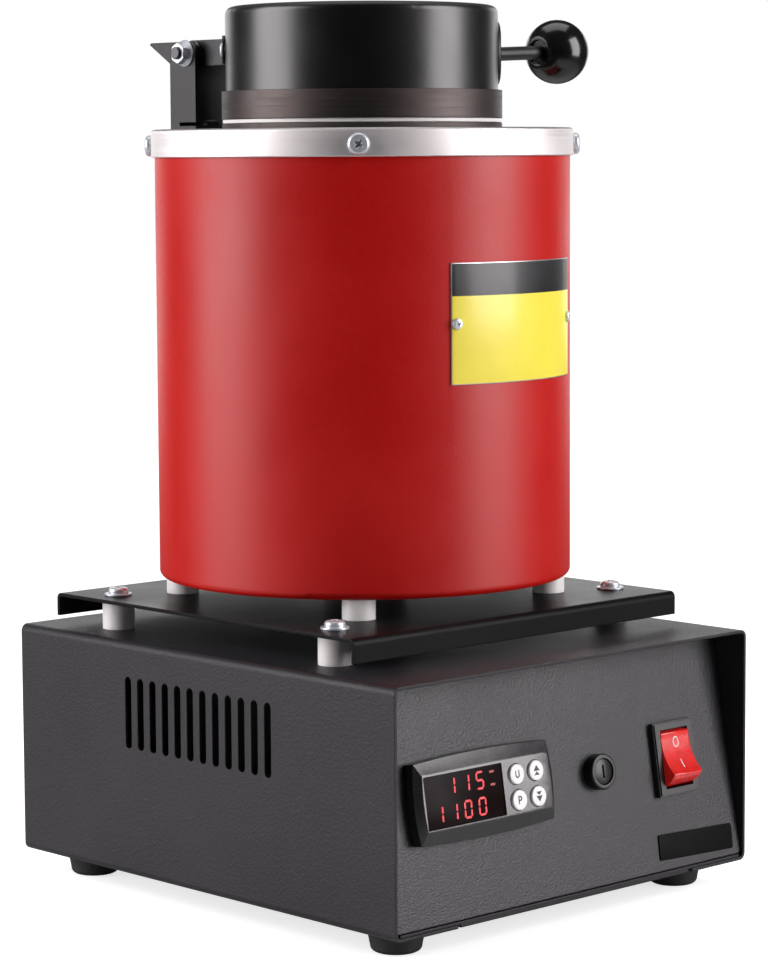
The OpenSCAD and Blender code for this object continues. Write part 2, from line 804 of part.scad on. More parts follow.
// Ceramic heater core: blind chamber whose wall has a groove for each turn of the element
module heater_core() {
    groove_r = 2.2;
    groove_pitch = 15.5;
    groove_count = 8;
    first_groove = 18;
    outer_r = chamber_r + core_wall;
    floor_z = core_top - chamber_depth;
    color([0.85, 0.8, 0.72]) on_tray() difference() {
        rotate_extrude($fn = 90) difference() {
            translate([0, core_bottom]) square([outer_r, core_top - core_bottom]);
            translate([-over, floor_z]) square([chamber_r + over, chamber_depth + over]);
            for (i = [0 : groove_count - 1])
                translate([chamber_r, floor_z + first_groove + i * groove_pitch])
                    circle(groove_r, $fn = 24);
        }
        translate([0, thermo_y, core_bottom - over]) cylinder(d = 6.4, h = 16, $fn = 32);
    }
}

// Ceramic-sheathed temperature probe beside the crucible
module thermocouple() {
    z_low = drum_bottom - 5;
    probe_l = 62;
    color(white_ceramic) on_tray(z_low) translate([0, thermo_y, 0]) {
        cylinder(d = 5, h = probe_l, $fn = 32);
        translate([0, 0, probe_l]) sphere(d = 5, $fn = 32);
    }
}

crucible_pad_t = 4;
crucible_wall = 6;
crucible_taper = 3;
crucible_bottom = core_top - chamber_depth + crucible_pad_t;

// Ceramic disc under the crucible
module crucible_stand() {
    color(white_ceramic) on_tray(crucible_bottom - crucible_pad_t)
        cylinder(r = 24, h = crucible_pad_t);
}

// Graphite crucible: tapered outside, with a round-bottomed cavity
module crucible() {
    top_z = crucible_bottom + crucible_h;
    cavity_r = crucible_r - crucible_wall;
    cavity_floor = crucible_bottom + 9;
    fillet = 10;
    color(graphite) on_tray() rotate_extrude($fn = 90) difference() {
        polygon([[0, crucible_bottom], [crucible_r - crucible_taper, crucible_bottom],
            [crucible_r, top_z], [0, top_z]]);
        translate([-over, cavity_floor + fillet]) square([cavity_r + over, crucible_h]);
        translate([-over, cavity_floor]) square([cavity_r - fillet + over, fillet + over]);
        translate([cavity_r - fillet, cavity_floor + fillet]) circle(fillet, $fn = 48);
    }
}

// Top ring: a rim over the drum's wall and a flat annulus with the mouth's opening
module top_ring() {
    edge_r = 2;
    wall = ring_r - drum_r - gap;
    color(bare_steel) difference() {
        on_tray() rotate_extrude($fn = 180) {
            translate([ring_bore_r, ring_top - ring_deck])
                square([ring_r - edge_r - ring_bore_r, ring_deck]);
            translate([ring_r - wall, ring_bottom]) square([wall, ring_h - edge_r]);
            translate([ring_r - edge_r, ring_top - edge_r]) intersection() {
                circle(edge_r, $fn = 48);
                square(edge_r);
            }
            translate([ring_r - wall, ring_top - edge_r]) square([wall - edge_r, edge_r]);
        }
        at_ring_screws() cylinder(d = 4.2, h = 12, center = true, $fn = 32);
        at_bracket_screws() cylinder(d = 4.2, h = 12, center = true, $fn = 32);
    }
}

ring_deck = 1.8;
ring_screw_z = ring_bottom + 4.9;

module at_ring_screws() {
    for (a = [46 : 90 : 316]) on_wall(a, ring_r, ring_screw_z) children();
}

module ring_screws() {
    color(zinc) at_ring_screws() pan_screw(8.8, 3, 4, 9);
}

// Heat-resistant ring that the lid closes on, let into the top ring's opening
module mouth_ring() {
    spigot_r = ring_bore_r - gap;
    color(stained_steel) on_tray() rotate_extrude($fn = 120) {
        translate([42, ring_top]) square([58.6 - 42, mouth_flange_h]);
        translate([42, core_top + gap]) square([spigot_r - 42, ring_top - core_top - gap + 0.5]);
    }
}

// Label plate and its two screws

label_r = drum_r + 0.05;
label_t = 0.6;
label_screw_z = label_z;

module at_label_screws() {
    inset = 1.6;
    for (s = [-1, 1])
        on_wall(label_angle + s * (label_span / 2 - inset), label_r + label_t, label_screw_z) children();
}

module label_plate() {
    color([0.95, 0.78, 0.1]) difference() {
        on_tray() wall_sector(label_r, label_r + label_t, label_z - label_h / 2, label_z + label_h / 2,
            label_angle, label_span);
        at_label_screws() cylinder(d = 2.7, h = 6, center = true, $fn = 32);
    }
}

module label_screws() {
    color(zinc) at_label_screws() pan_screw(4.6, 1.5, 2.5, 2.3);
}

// Hinge, fixed half

// Side view of a cheek: upright strip, ear that points back at the top, tail behind the ring
module cheek_profile() {
    polygon([[cheek_front, cheek_low], [skirt_front, cheek_low], [skirt_front, skirt_low],
        [cheek_rear, skirt_low], [cheek_rear, ear_low], [ear_tip, cheek_top - 0.8],
        [ear_tip - 0.8, cheek_top], [cheek_front + 2, cheek_top], [cheek_front, cheek_top - 2]]);
}

// Bracket bent from one sheet: foot on the ring, back plate down behind it, two cheeks, and a
// sloping shelf between the ears on which the opened arm comes to rest
module hinge_bracket() {
    inner_w = bracket_w - 2 * hinge_t;
    foot_t = 2;
    shelf_angle = atan2(cheek_top - 0.8 - ear_low, ear_tip - cheek_rear);
    shelf_start = 6.4;
    shelf_l = 12.2;
    shelf_low = arm_up + 0.05 + hinge_t;
    web_h = pivot_z - 2 - skirt_low;
    color(black_paint) difference() {
        on_tray() {
            for (side = [-1, 1]) translate([side * (bracket_w - hinge_t) / 2 - hinge_t / 2, 0, 0])
                rotate([90, 0, 90]) linear_extrude(hinge_t) cheek_profile();
            translate([-inner_w / 2 - 0.5, cheek_rear - hinge_t, skirt_low])
                cube([inner_w + 1, hinge_t, web_h]);
            translate([-bracket_w / 2, cheek_front, ring_top])
                cube([bracket_w, cheek_rear - cheek_front, foot_t]);
            translate([0, pivot_y, pivot_z]) rotate([shelf_angle, 0, 0])
                translate([-inner_w / 2 - 0.5, shelf_start, -shelf_low])
                    cube([inner_w + 1, shelf_l, hinge_t]);
        }
        at_pivot() rotate([0, 90, 0]) cylinder(d = pin_d + 0.2, h = bracket_w + 2, center = true);
        at_bracket_screws() cylinder(d = 4.2, h = 12, center = true, $fn = 32);
    }
}

module at_bracket_screws() {
    for (side = [-1, 1]) on_tray(ring_top + 2) translate([side * 14, cheek_front + 5.4, 0]) children();
}

module bracket_screws() {
    color(zinc) at_bracket_screws() pan_screw(7.6, 2.6, 4, 7);
}

nut_flange_d = 11.4;
nut_flange_t = 1.3;
nut_h = 4.7;
nut_af = 8;

// Hinge pin: hexagon flange bolt whose head is on the right and whose thread ends on the left
module hinge_pin() {
    head_h = 4;
    tail = 6.2;
    color(zinc) at_pivot() rotate([0, 90, 0]) {
        translate([0, 0, -bracket_w / 2 - tail]) cylinder(d = pin_d, h = bracket_w + tail + over, $fn = 48);
        translate([0, 0, bracket_w / 2]) {
            cylinder(d = nut_flange_d, h = nut_flange_t, $fn = 48);
            cylinder(d = nut_af / cos(30), h = head_h, $fn = 6);
        }
    }
}

module hinge_nut() {
    color(zinc) at_pivot() rotate([0, -90, 0]) translate([0, 0, bracket_w / 2]) difference() {
        union() {
            rotate_extrude($fn = 48) polygon([[0, 0], [nut_flange_d / 2, 0],
                [nut_flange_d / 2, 0.7], [nut_af / 2, nut_flange_t + 0.6], [0, nut_flange_t + 0.6]]);
            intersection() {
                cylinder(d = nut_af / cos(30), h = nut_h, $fn = 6);
                cylinder(r1 = nut_af / 2 + nut_h, r2 = nut_af / 2 + 0.1, h = nut_h + 0.1, $fn = 48);
            }
        }
        translate([0, 0, -over]) cylinder(d = pin_d + 0.1, h = nut_h + 2 * over, $fn = 48);
    }
}

// A washer against each cheek with a short collar that keeps the arm in the middle
module hinge_spacers() {
    room = (bracket_w - arm_w) / 2 - hinge_t;
    washer_t = 1.2;
    color(zinc) at_pivot() for (side = [-1, 1]) rotate([0, side * 90, 0])
        translate([0, 0, bracket_w / 2 - hinge_t]) mirror([0, 0, 1]) difference() {
            union() {
                cylinder(d = 11.4, h = washer_t, $fn = 48);
                cylinder(d = 7.6, h = room - 0.2, $fn = 48);
            }
            translate([0, 0, -over]) cylinder(d = pin_d + 0.1, h = room + 2 * over, $fn = 48);
        }
}

// Hinge, moving half

strap_r = lid_r + 0.05;
strap_t = 1.2;
arm_up = 5.7;
arm_down = 5.6;
arm_screw_angle = 53;
arm_strap_span = 118;

// Arm: channel over the pin whose front ends run into a strap bent round the lid's wall
module hinge_arm() {
    tail = 6;
    color(black_paint) difference() {
        union() {
            on_tray() wall_sector(strap_r, strap_r + strap_t, pivot_z - arm_down, pivot_z + arm_up,
                90, arm_strap_span);
            difference() {
                at_pivot() {
                    for (side = [-1, 1]) translate([side * (arm_w - hinge_t) / 2 - hinge_t / 2, 0, 0])
                        rotate([90, 0, 90]) linear_extrude(hinge_t) {
                            translate([-34, -arm_down]) square([34, arm_up + arm_down]);
                            intersection() {
                                circle(tail);
                                translate([-over, -arm_down]) square([tail + 2, arm_down + arm_up]);
                            }
                        }
                    translate([-arm_w / 2 + 0.2, -34, arm_up - hinge_t])
                        cube([arm_w - 0.4, 32, hinge_t]);
                }
                on_tray(pivot_z - 20) cylinder(r = strap_r + 0.2, h = 40, $fn = 180);
            }
        }
        at_pivot() rotate([0, 90, 0]) cylinder(d = pin_d + 0.1, h = bracket_w, center = true, $fn = 48);
        at_arm_screws() cylinder(d = 3.2, h = 12, center = true, $fn = 32);
    }
}

module at_arm_screws() {
    for (s = [-1, 1]) on_wall(90 + s * arm_screw_angle, strap_r + strap_t, pivot_z) children();
}

module arm_screws() {
    color(zinc) at_arm_screws() translate([0, 0, 0.1]) pan_screw(6, 1.7, 3, 5);
}

// Lid

module lid_cover() {
    crown_r = 3.3;
    wall = 1;
    color(gloss_black) difference() {
        on_tray() rotate_extrude($fn = 180) difference() {
            union() {
                translate([0, band_bottom]) square([lid_r, lid_top - crown_r - band_bottom]);
                translate([0, lid_top - 2 * crown_r]) square([lid_r - crown_r, 2 * crown_r]);
                translate([lid_r - crown_r, lid_top - crown_r]) circle(crown_r, $fn = 48);
            }
            translate([-over, band_bottom - over])
                square([lid_r - wall + over, lid_top - wall - 2 - band_bottom + over]);
            translate([-over, lid_top - 5]) square([lid_r - 4 + over, 4]);
        }
        at_handle() cylinder(d = rod_d + 0.2, h = 30, center = true);
        at_arm_screws() cylinder(d = 3.2, h = 12, center = true, $fn = 32);
    }
}

module lid_band() {
    color(stained_steel) on_tray(band_bottom) tube(band_r, lid_r + 0.05, band_h, $fn = 180);
}

// Refractory disc: the face that closes the mouth and a plug that fills the lid's lower half
module lid_ceramic() {
    plug_h = 22;
    color(white_ceramic) on_tray(lid_bottom) {
        cylinder(r = band_r - 0.4, h = ceramic_reveal, $fn = 180);
        cylinder(r = lid_r - 1.15, h = plug_h, $fn = 180);
    }
}

// Puts children on the handle's axis at the lid's wall, z out along the rod
module at_handle() {
    on_tray(handle_z) translate([lid_r, 0, 0]) rotate([0, 90 - rod_tilt, 0]) children();
}

handle_plate_h = 27.6;

// Curved backing plate with round ends under the handle; its rear end stops short of the hinge
// arm's strap
module handle_plate() {
    front_span = 46;
    rear_span = 28;
    end_r = handle_plate_h / 2;
    front_end = end_r - (strap_r + strap_t) * sin(front_span);
    rear_end = (strap_r + strap_t) * sin(rear_span) - end_r;
    color(black_paint) difference() {
        intersection() {
            on_tray() wall_sector(strap_r, strap_r + strap_t, handle_z - end_r - over,
                handle_z + end_r + over, (rear_span - front_span) / 2, rear_span + front_span + 10);
            on_tray(handle_z) rotate([90, 0, 90]) linear_extrude(lid_r + 10) {
                translate([front_end, -end_r]) square([rear_end - front_end, handle_plate_h]);
                translate([front_end, 0]) circle(end_r);
                translate([rear_end, 0]) circle(end_r);
            }
        }
        at_handle() cylinder(d = rod_d + 0.2, h = 30, center = true);
    }
}

rod_start = -6;
rod_reach = (ball_reach - lid_r) / cos(rod_tilt);

module handle_rod() {
    color(gloss_black) at_handle() translate([0, 0, rod_start])
        cylinder(d = rod_d, h = rod_reach - rod_start - 2, $fn = 48);
}

// Nut on the rod's end inside the lid's wall
module handle_nut() {
    nut = 10;
    nut_t = 4;
    color(zinc) at_handle() difference() {
        translate([0, 0, -nut_t - 1.6]) cylinder(d = nut / cos(30), h = nut_t, $fn = 6);
        cylinder(d = rod_d + 0.1, h = 20, center = true, $fn = 48);
    }
}

// Ball with a flat where the rod enters, a raised rim round it and the rod's bore
module ball_knob() {
    flat_r = 7;
    flat_z = -sqrt(ball_r * ball_r - flat_r * flat_r);
    rim_w = 1.4;
    sink = 1.2;
    color(gloss_black) at_handle() translate([0, 0, rod_reach]) rotate_extrude($fn = 96)
        difference() {
            intersection() {
                circle(ball_r, $fn = 144);
                translate([0, flat_z]) square([ball_r, 2 * ball_r]);
            }
            translate([-over, flat_z - over]) square([flat_r - rim_w + over, sink + over]);
            translate([-over, flat_z - over]) square([rod_d / 2 + 0.05 + over, -flat_z - 1.9 + over]);
        }
}

casing_shell();
base_plate();
front_panel();
rear_panel();
panel_screws();
rubber_feet();
foot_screws();
power_inlet();
inlet_screws();
controller_housing();
display_window();
key_upper_left();
key_upper_right();
key_lower_left();
key_lower_right();
fuse_holder();
fuse_tube();
fuse_cap();
rocker_frame();
rocker_button();
relay();
terminal_block();
lower_standoffs();
tray();
tray_screws();
upper_standoffs();
drum_screws();
lead_bushings();
drum_shell();
drum_floor();
insulation();
heater_core();
thermocouple();
crucible_stand();
crucible();
top_ring();
ring_screws();
mouth_ring();
label_plate();
label_screws();
hinge_bracket();
bracket_screws();
hinge_pin();
hinge_nut();
hinge_spacers();
hinge_arm();
arm_screws();
lid_cover();
lid_band();
lid_ceramic();
handle_plate();
handle_rod();
handle_nut();
ball_knob();
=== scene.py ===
import math

import bmesh
import bpy
from mathutils import Matrix, Vector

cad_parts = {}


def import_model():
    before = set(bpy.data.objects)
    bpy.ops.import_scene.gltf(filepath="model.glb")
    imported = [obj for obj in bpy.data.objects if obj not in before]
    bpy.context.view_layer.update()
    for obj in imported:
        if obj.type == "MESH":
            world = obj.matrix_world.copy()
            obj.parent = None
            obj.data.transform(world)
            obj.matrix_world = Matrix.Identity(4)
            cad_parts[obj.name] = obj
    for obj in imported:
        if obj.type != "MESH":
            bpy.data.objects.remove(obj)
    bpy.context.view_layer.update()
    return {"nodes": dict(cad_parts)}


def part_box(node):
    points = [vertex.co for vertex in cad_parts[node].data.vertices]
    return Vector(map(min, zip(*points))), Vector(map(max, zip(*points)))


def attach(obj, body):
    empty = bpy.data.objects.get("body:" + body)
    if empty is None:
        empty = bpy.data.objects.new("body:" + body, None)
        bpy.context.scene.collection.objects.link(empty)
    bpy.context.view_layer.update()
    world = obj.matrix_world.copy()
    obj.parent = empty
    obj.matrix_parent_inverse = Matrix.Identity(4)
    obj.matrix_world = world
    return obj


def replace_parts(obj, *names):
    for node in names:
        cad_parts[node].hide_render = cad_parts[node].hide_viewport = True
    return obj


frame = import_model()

NODES = frame["nodes"]
MM = 0.001

# ---------------------------------------------------------------- places, in millimetres

TILT = math.radians(9.1)
case_lo, case_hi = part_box("casing_shell")
CX = (case_lo.x + case_hi.x) / 2 / MM
CY = (case_lo.y + case_hi.y) / 2 / MM
CASE_D = (case_hi.y - case_lo.y) / MM
FOOT_H = 10.0
TRAY_Y = 9.0
ring_lo, ring_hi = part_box("top_ring")
DRUM_R = 87.0
RING_R = 88.4
LID_R = 57.0
RING_BOTTOM = ring_lo.z / MM
RING_TOP = ring_hi.z / MM
TRAY_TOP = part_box("tray")[1].z / MM
AXIS_X, AXIS_Y = CX, CY + TRAY_Y
PIVOT = Vector((AXIS_X, AXIS_Y + 82.8, RING_TOP + 33.1))
BRACKET_W = 53.4
SHEET_T = 1.5  # folded sheet of bracket and arm
PIN_HOLE_R = 2.55
ARM_SCREW_AT, LID_HOLE_AT = 40, 53  # degrees to each side of the lid's back


def panel_y(z):
    """How far back the leaning panel's face stands at a height."""
    return 0.7 - CASE_D / 2 + math.tan(TILT) * (z - FOOT_H)


def panel(x, z, out=0.0):
    """Matrix of a place on the front panel: x across, y up the slope, z out of the panel."""
    s, c = math.sin(TILT), math.cos(TILT)
    m = Matrix(((1, 0, 0), (0, s, -c), (0, c, s))).to_4x4()
    m.translation = Vector((CX + x, CY + panel_y(z), z)) + m.to_3x3() @ Vector((0, 0, out))
    return m


def wall(angle, radius, z):
    """Matrix of a place on the drum's wall: x round the drum, y up, z out of the wall."""
    a = math.radians(angle)
    n = Vector((math.cos(a), math.sin(a), 0))
    t = Vector((-math.sin(a), math.cos(a), 0))
    m = Matrix((t, Vector((0, 0, 1)), n)).transposed().to_4x4()
    m.translation = Vector((AXIS_X, AXIS_Y, z)) + n * radius
    return m


def at(x, y, z):
    return Matrix.Translation(Vector((x, y, z)))


AXIS = at(AXIS_X, AXIS_Y, 0)

# ---------------------------------------------------------------- node materials


class Shader:
    """A material's node tree with short calls for the nodes that are used here."""

    def __init__(self, name):
        self.m = bpy.data.materials.new(name)
        self.m.use_nodes = True
        self.t = self.m.node_tree
        self.b = self.t.nodes["Principled BSDF"]
        self.coord = self.t.nodes.new("ShaderNodeTexCoord").outputs["Object"]

    def node(self, kind, **values):
        n = self.t.nodes.new(kind)
        for k, v in values.items():
            setattr(n, k, v)
        return n

    def link(self, a, b):
        self.t.links.new(a, b)

    def set(self, **values):
        """Constants on the main node's sockets; an underscore stands for a space."""
        for k, v in values.items():
            self.b.inputs[k.replace("_", " ")].default_value = v
        return self

    def mapped(self, scale, source=None):
        """Coordinates stretched along each axis."""
        n = self.node("ShaderNodeMapping")
        n.inputs["Scale"].default_value = scale
        self.link(source or self.coord, n.inputs["Vector"])
        return n.outputs["Vector"]

    def noise(self, scale, detail=3.0, rough=0.5, source=None):
        n = self.node("ShaderNodeTexNoise")
        n.inputs["Scale"].default_value = scale
        n.inputs["Detail"].default_value = detail
        n.inputs["Roughness"].default_value = rough
        self.link(source or self.coord, n.inputs["Vector"])
        return n.outputs["Fac"]

    def ramp(self, fac, stops):
        n = self.node("ShaderNodeValToRGB")
        r = n.color_ramp
        r.elements[0].position, r.elements[1].position = stops[0][0], stops[-1][0]
        for p, _ in stops[1:-1]:
            r.elements.new(p)
        for e, (p, c) in zip(r.elements, stops):
            e.position = p
            e.color = (*c, 1)
        self.link(fac, n.inputs["Fac"])
        return n.outputs["Color"]

    def value(self, fac, low, high, a=0.3, b=0.7):
        """Maps a..b to low..high."""
        n = self.node("ShaderNodeMapRange")
        for k, v in (("From Min", a), ("From Max", b), ("To Min", low), ("To Max", high)):
            n.inputs[k].default_value = v
        self.link(fac, n.inputs["Value"])
        return n.outputs["Result"]

    def math(self, op, a, b=None):
        n = self.node("ShaderNodeMath", operation=op)
        for i, v in enumerate((a, b)):
            if v is None:
                continue
            if isinstance(v, (int, float)):
                n.inputs[i].default_value = v
            else:
                self.link(v, n.inputs[i])
        return n.outputs[0]

    def mix(self, fac, a, b):
        n = self.node("ShaderNodeMix", data_type="RGBA")
        for sock, v in ((n.inputs["Factor"], fac), (n.inputs[6], a), (n.inputs[7], b)):
            if hasattr(v, "is_output"):
                self.link(v, sock)
            else:
                sock.default_value = (*v, 1)
        return n.outputs[2]

    def edge(self, radius):
        """1 on an edge that is narrower than the radius, 0 on a flat."""
        bevel = self.node("ShaderNodeBevel", samples=6)
        bevel.inputs["Radius"].default_value = radius
        geo = self.node("ShaderNodeNewGeometry")
        dot = self.node("ShaderNodeVectorMath", operation="DOT_PRODUCT")
        self.link(bevel.outputs[0], dot.inputs[0])
        self.link(geo.outputs["Normal"], dot.inputs[1])
        return self.value(dot.outputs["Value"], 1.0, 0.0, 0.80, 0.985)

    def bump(self, height, distance, strength=1.0, bevel=0.0):
        n = self.node("ShaderNodeBump")
        n.inputs["Distance"].default_value = distance
        n.inputs["Strength"].default_value = strength
        self.link(height, n.inputs["Height"])
        if bevel:
            edge = self.node("ShaderNodeBevel", samples=6)
            edge.inputs["Radius"].default_value = bevel
            self.link(edge.outputs[0], n.inputs["Normal"])
        self.link(n.outputs["Normal"], self.b.inputs["Normal"])

    def colour(self, socket):
        self.link(socket, self.b.inputs["Base Color"])

    def rough(self, socket):
        self.link(socket, self.b.inputs["Roughness"])


def scaled(c, k):
    """A colour made darker or lighter."""
    return tuple(min(1.0, v * k) for v in c)


def powder_coat(name, base, rough, grain, depth, edge_wear_and_highlight, bevel=0.0006, spread=0.18, specular=0.5):
    """Fine-grained baked paint: grain, faint cloudiness, edges lightened as rubbed wear and as a painted
    highlight.
    """
    s = Shader(name)
    fine = s.noise(grain, 2.0, 0.6)
    cloud = s.noise(22, 4.0, 0.55)
    tint = s.ramp(cloud, [(0.3, scaled(base, 1 - spread)), (0.7, scaled(base, 1 + spread))])
    # Lightened edges: partly rubbed wear, partly a painted highlight along folds and rims.
    lightened_edge = s.math("MULTIPLY", s.edge(bevel), s.value(s.noise(160, 4.0, 0.6), 0.25, 1.0, 0.42, 0.62))
    lightened_edge = s.math("MULTIPLY", lightened_edge, edge_wear_and_highlight)
    s.colour(s.mix(lightened_edge, tint, scaled(base, 5.0)))
    s.rough(s.math("ADD", s.value(fine, -0.05, 0.05), s.value(cloud, rough - 0.04, rough + 0.05)))
    s.bump(fine, depth, 0.8, bevel)
    return s.set(Specular_IOR_Level=specular)


def metal(name, base, rough, streak, scale, depth=0.00002, dark=0.7, metallic=1.0):
    """Bare or plated metal: directional scratches, cloudy roughness, darker cloudy patches."""
    s = Shader(name)
    fine = s.noise(scale, 3.0, 0.65, s.mapped(streak))
    cloud = s.noise(60, 4.0, 0.6)
    s.colour(s.ramp(cloud, [(0.25, scaled(base, dark)), (0.6, base), (0.9, scaled(base, 1.1))]))
    s.rough(s.math("ADD", s.value(fine, -0.08, 0.08), s.value(cloud, rough + 0.06, rough - 0.05)))
    s.bump(fine, depth, 0.7, 0.0004)
    return s.set(Metallic=metallic)


def plastic(name, base, rough, grain=2600, depth=0.00002, coat=0.0, spread=0.12, specular=0.5):
    """Moulded plastic or ink: a fine skin over a faintly uneven tone."""
    s = Shader(name)
    fine = s.noise(grain, 2.0, 0.5)
    cloud = s.noise(70, 4.0, 0.6)
    s.colour(s.ramp(cloud, [(0.3, scaled(base, 1 - spread)), (0.72, scaled(base, 1 + spread))]))
    s.rough(s.math("ADD", s.value(fine, -0.03, 0.04), s.value(cloud, rough - 0.03, rough + 0.05)))
    s.bump(fine, depth, 0.7, 0.0003)
    return s.set(Coat_Weight=coat, Coat_Roughness=0.08, Specular_IOR_Level=specular)


def polar(s, ring):
    """Object coordinates wrapped round the drum's axis: (angle times ring radius, height, radius)."""
    sep = s.node("ShaderNodeSeparateXYZ")
    s.link(s.coord, sep.inputs[0])
    x = s.math("SUBTRACT", sep.outputs[0], AXIS_X * MM)
    y = s.math("SUBTRACT", sep.outputs[1], AXIS_Y * MM)
    angle = s.math("MULTIPLY", s.math("ARCTAN2", y, x), ring * MM)
    radius = s.math("SQRT", s.math("ADD", s.math("MULTIPLY", x, x), s.math("MULTIPLY", y, y)))
    n = s.node("ShaderNodeCombineXYZ")
    for i, v in enumerate((angle, sep.outputs[2], radius)):
        s.link(v, n.inputs[i])
    return n.outputs[0]


def upward(s, low, high):
    """How far the surface faces up in the piece's own space: low on walls, high on flat tops."""
    sep = s.node("ShaderNodeSeparateXYZ")
    s.link(s.node("ShaderNodeTexCoord").outputs["Normal"], sep.inputs[0])
    return s.value(sep.outputs[2], low, high, 0.45, 0.95)


def turned_metal(name, base, rough, ring, stain=None, lines=2400, painted_shade_top=0.0):
    """Metal brushed round the drum's axis, with an optional heat stain and optional painted shade that darkens
    the flat tops.
    """
    s = Shader(name)
    round_axis = polar(s, ring)
    lines_a = s.noise(1.0, 3.0, 0.7, s.mapped((14, lines, lines), round_axis))
    patch = s.noise(1.0, 4.0, 0.6, s.mapped((26, 90, 90), round_axis))
    c = s.ramp(lines_a, [(0.2, scaled(base, 0.92)), (0.8, scaled(base, 1.05))])
    if stain:
        c = s.mix(s.value(patch, 0.0, 0.45, 0.38, 0.68), c, stain)
    if painted_shade_top:
        # Painted shade: faces that look up are darkened.
        c = s.mix(upward(s, 0.0, painted_shade_top), c, scaled(base, 0.2))
    s.colour(c)
    s.rough(s.math("ADD", s.value(lines_a, -0.05, 0.05), s.value(patch, rough - 0.03, rough + 0.05)))
    s.bump(lines_a, 0.000012, 0.8, 0.0006)
    return s.set(Metallic=1.0, Anisotropic=0.35)


CASING = powder_coat("casing_paint", (0.018, 0.0165, 0.0195), 0.46, 1000, 0.00022, 0.30, specular=0.3)
PANEL = powder_coat("panel_paint", (0.0155, 0.0145, 0.0172), 0.36, 1300, 0.00030, 0.25, specular=0.45)
# The tray's edges are lightened most: mostly a painted highlight on its folds, partly wear.
TRAY = powder_coat("tray_paint", (0.006, 0.0055, 0.006), 0.36, 1500, 0.00006, 0.8, 0.0007, specular=0.08)
HINGE = powder_coat("hinge_paint", (0.012, 0.0115, 0.0125), 0.42, 1500, 0.00006, 0.5, 0.0006, specular=0.4)
RED = powder_coat("drum_red", (0.50, 0.0030, 0.0006), 0.40, 1100, 0.00005, 0.10, 0.0008, 0.05,
                  specular=0.42).set(Sheen_Weight=0.35, Sheen_Roughness=0.4, Sheen_Tint=(1.0, 0.05, 0.03, 1))
ZINC = metal("zinc_plate", (0.74, 0.78, 0.83), 0.36, (1, 1, 1), 700, 0.00002, 0.7, metallic=0.62)
DARK_BOLT = metal("bolt_end", (0.10, 0.10, 0.105), 0.40, (1, 1, 1), 900, 0.00002, 0.6)
STEEL = metal("plain_steel", (0.55, 0.54, 0.52), 0.38, (1, 1, 6), 300, 0.00003)
# Painted shade darkens the ring's flat top.
RING = turned_metal("ring_steel", (0.80, 0.765, 0.76), 0.50, RING_R, painted_shade_top=0.85)
MOUTH = turned_metal("mouth_steel", (0.10, 0.09, 0.085), 0.5, 58.6, (0.05, 0.035, 0.03))
BAND = turned_metal("band_steel", (0.074, 0.064, 0.063), 0.42, 58.7, (0.06, 0.043, 0.038), lines=900)
RUBBER = plastic("foot_rubber", (0.012, 0.012, 0.012), 0.62, 1400, 0.00008)
BLACK = plastic("switch_plastic", (0.014, 0.014, 0.015), 0.34)
INLET = plastic("inlet_plastic", (0.018, 0.018, 0.019), 0.5)
BEZEL = plastic("controller_plastic", (0.014, 0.0135, 0.0150), 0.22, 2200, 0.00001, specular=0.75)
FUSE = plastic("fuse_plastic", (0.006, 0.006, 0.0065), 0.30, specular=0.4)
KEY = plastic("key_plastic", (0.80, 0.80, 0.79), 0.38, 2600, 0.00001, 0.2, 0.04)
KEY_INK = plastic("key_ink", (0.05, 0.05, 0.055), 0.5)
RELAY = plastic("relay_plastic", (0.55, 0.55, 0.52), 0.5)
TERMINAL = plastic("terminal_plastic", (0.6, 0.58, 0.5), 0.5)
WHITE_INK = plastic("white_ink", (0.85, 0.82, 0.80), 0.45)


def ceramic(name, base, rough, speck, depth):
    """Fired or fibrous ceramic with dark specks."""
    s = Shader(name)
    spots = s.noise(1500, 2.0, 0.7)
    cloud = s.noise(120, 4.0, 0.6)
    c = s.ramp(cloud, [(0.3, scaled(base, 0.93)), (0.7, base)])
    s.colour(s.mix(s.value(spots, 0.0, speck, 0.62, 0.75), c, scaled(base, 0.55)))
    s.rough(s.value(cloud, rough - 0.05, rough + 0.1))
    s.bump(s.noise(500, 4.0, 0.6), depth, 0.8, 0.0005)
    return s.set(Subsurface_Weight=0.08, Subsurface_Radius=(0.002, 0.0018, 0.0015))


CERAMIC = ceramic("white_ceramic", (0.90, 0.875, 0.86), 0.38, 0.25, 0.00004)
CORE = ceramic("core_ceramic", (0.70, 0.60, 0.47), 0.85, 0.5, 0.0002)
FIBRE = ceramic("ceramic_fibre", (0.78, 0.76, 0.70), 0.95, 0.3, 0.0006)


def graphite_shader():
    """Crucible graphite with a few bright grains."""
    s = Shader("graphite")
    grain = s.noise(900, 5.0, 0.7)
    c = s.ramp(s.noise(45, 4.0, 0.6), [(0.3, (0.035, 0.035, 0.037)), (0.7, (0.075, 0.075, 0.078))])
    s.colour(s.mix(s.value(grain, 0.0, 0.6, 0.6, 0.72), c, (0.16, 0.16, 0.165)))
    s.rough(s.value(grain, 0.42, 0.62))
    s.bump(grain, 0.0001, 0.8, 0.0008)
    return s.set(Metallic=0.35)


GRAPHITE = graphite_shader()


def enamel_shader():
    """Gloss black paint of the lid: orange peel, faint dust, a little haze."""
    s = Shader("lid_enamel")
    peel = s.noise(420, 2.0, 0.5)
    dust = s.noise(2600, 3.0, 0.7)
    haze = s.noise(30, 5.0, 0.6)
    s.colour(s.mix(s.value(dust, 0.0, 0.05, 0.66, 0.78), (0.003, 0.0025, 0.003), (0.25, 0.24, 0.23)))
    s.rough(s.math("ADD", s.value(haze, 0.27, 0.34), upward(s, 0.0, 0.42)))
    s.bump(peel, 0.00003, 0.6, 0.0008)
    return s.set(Specular_IOR_Level=0.70)


ENAMEL = enamel_shader()


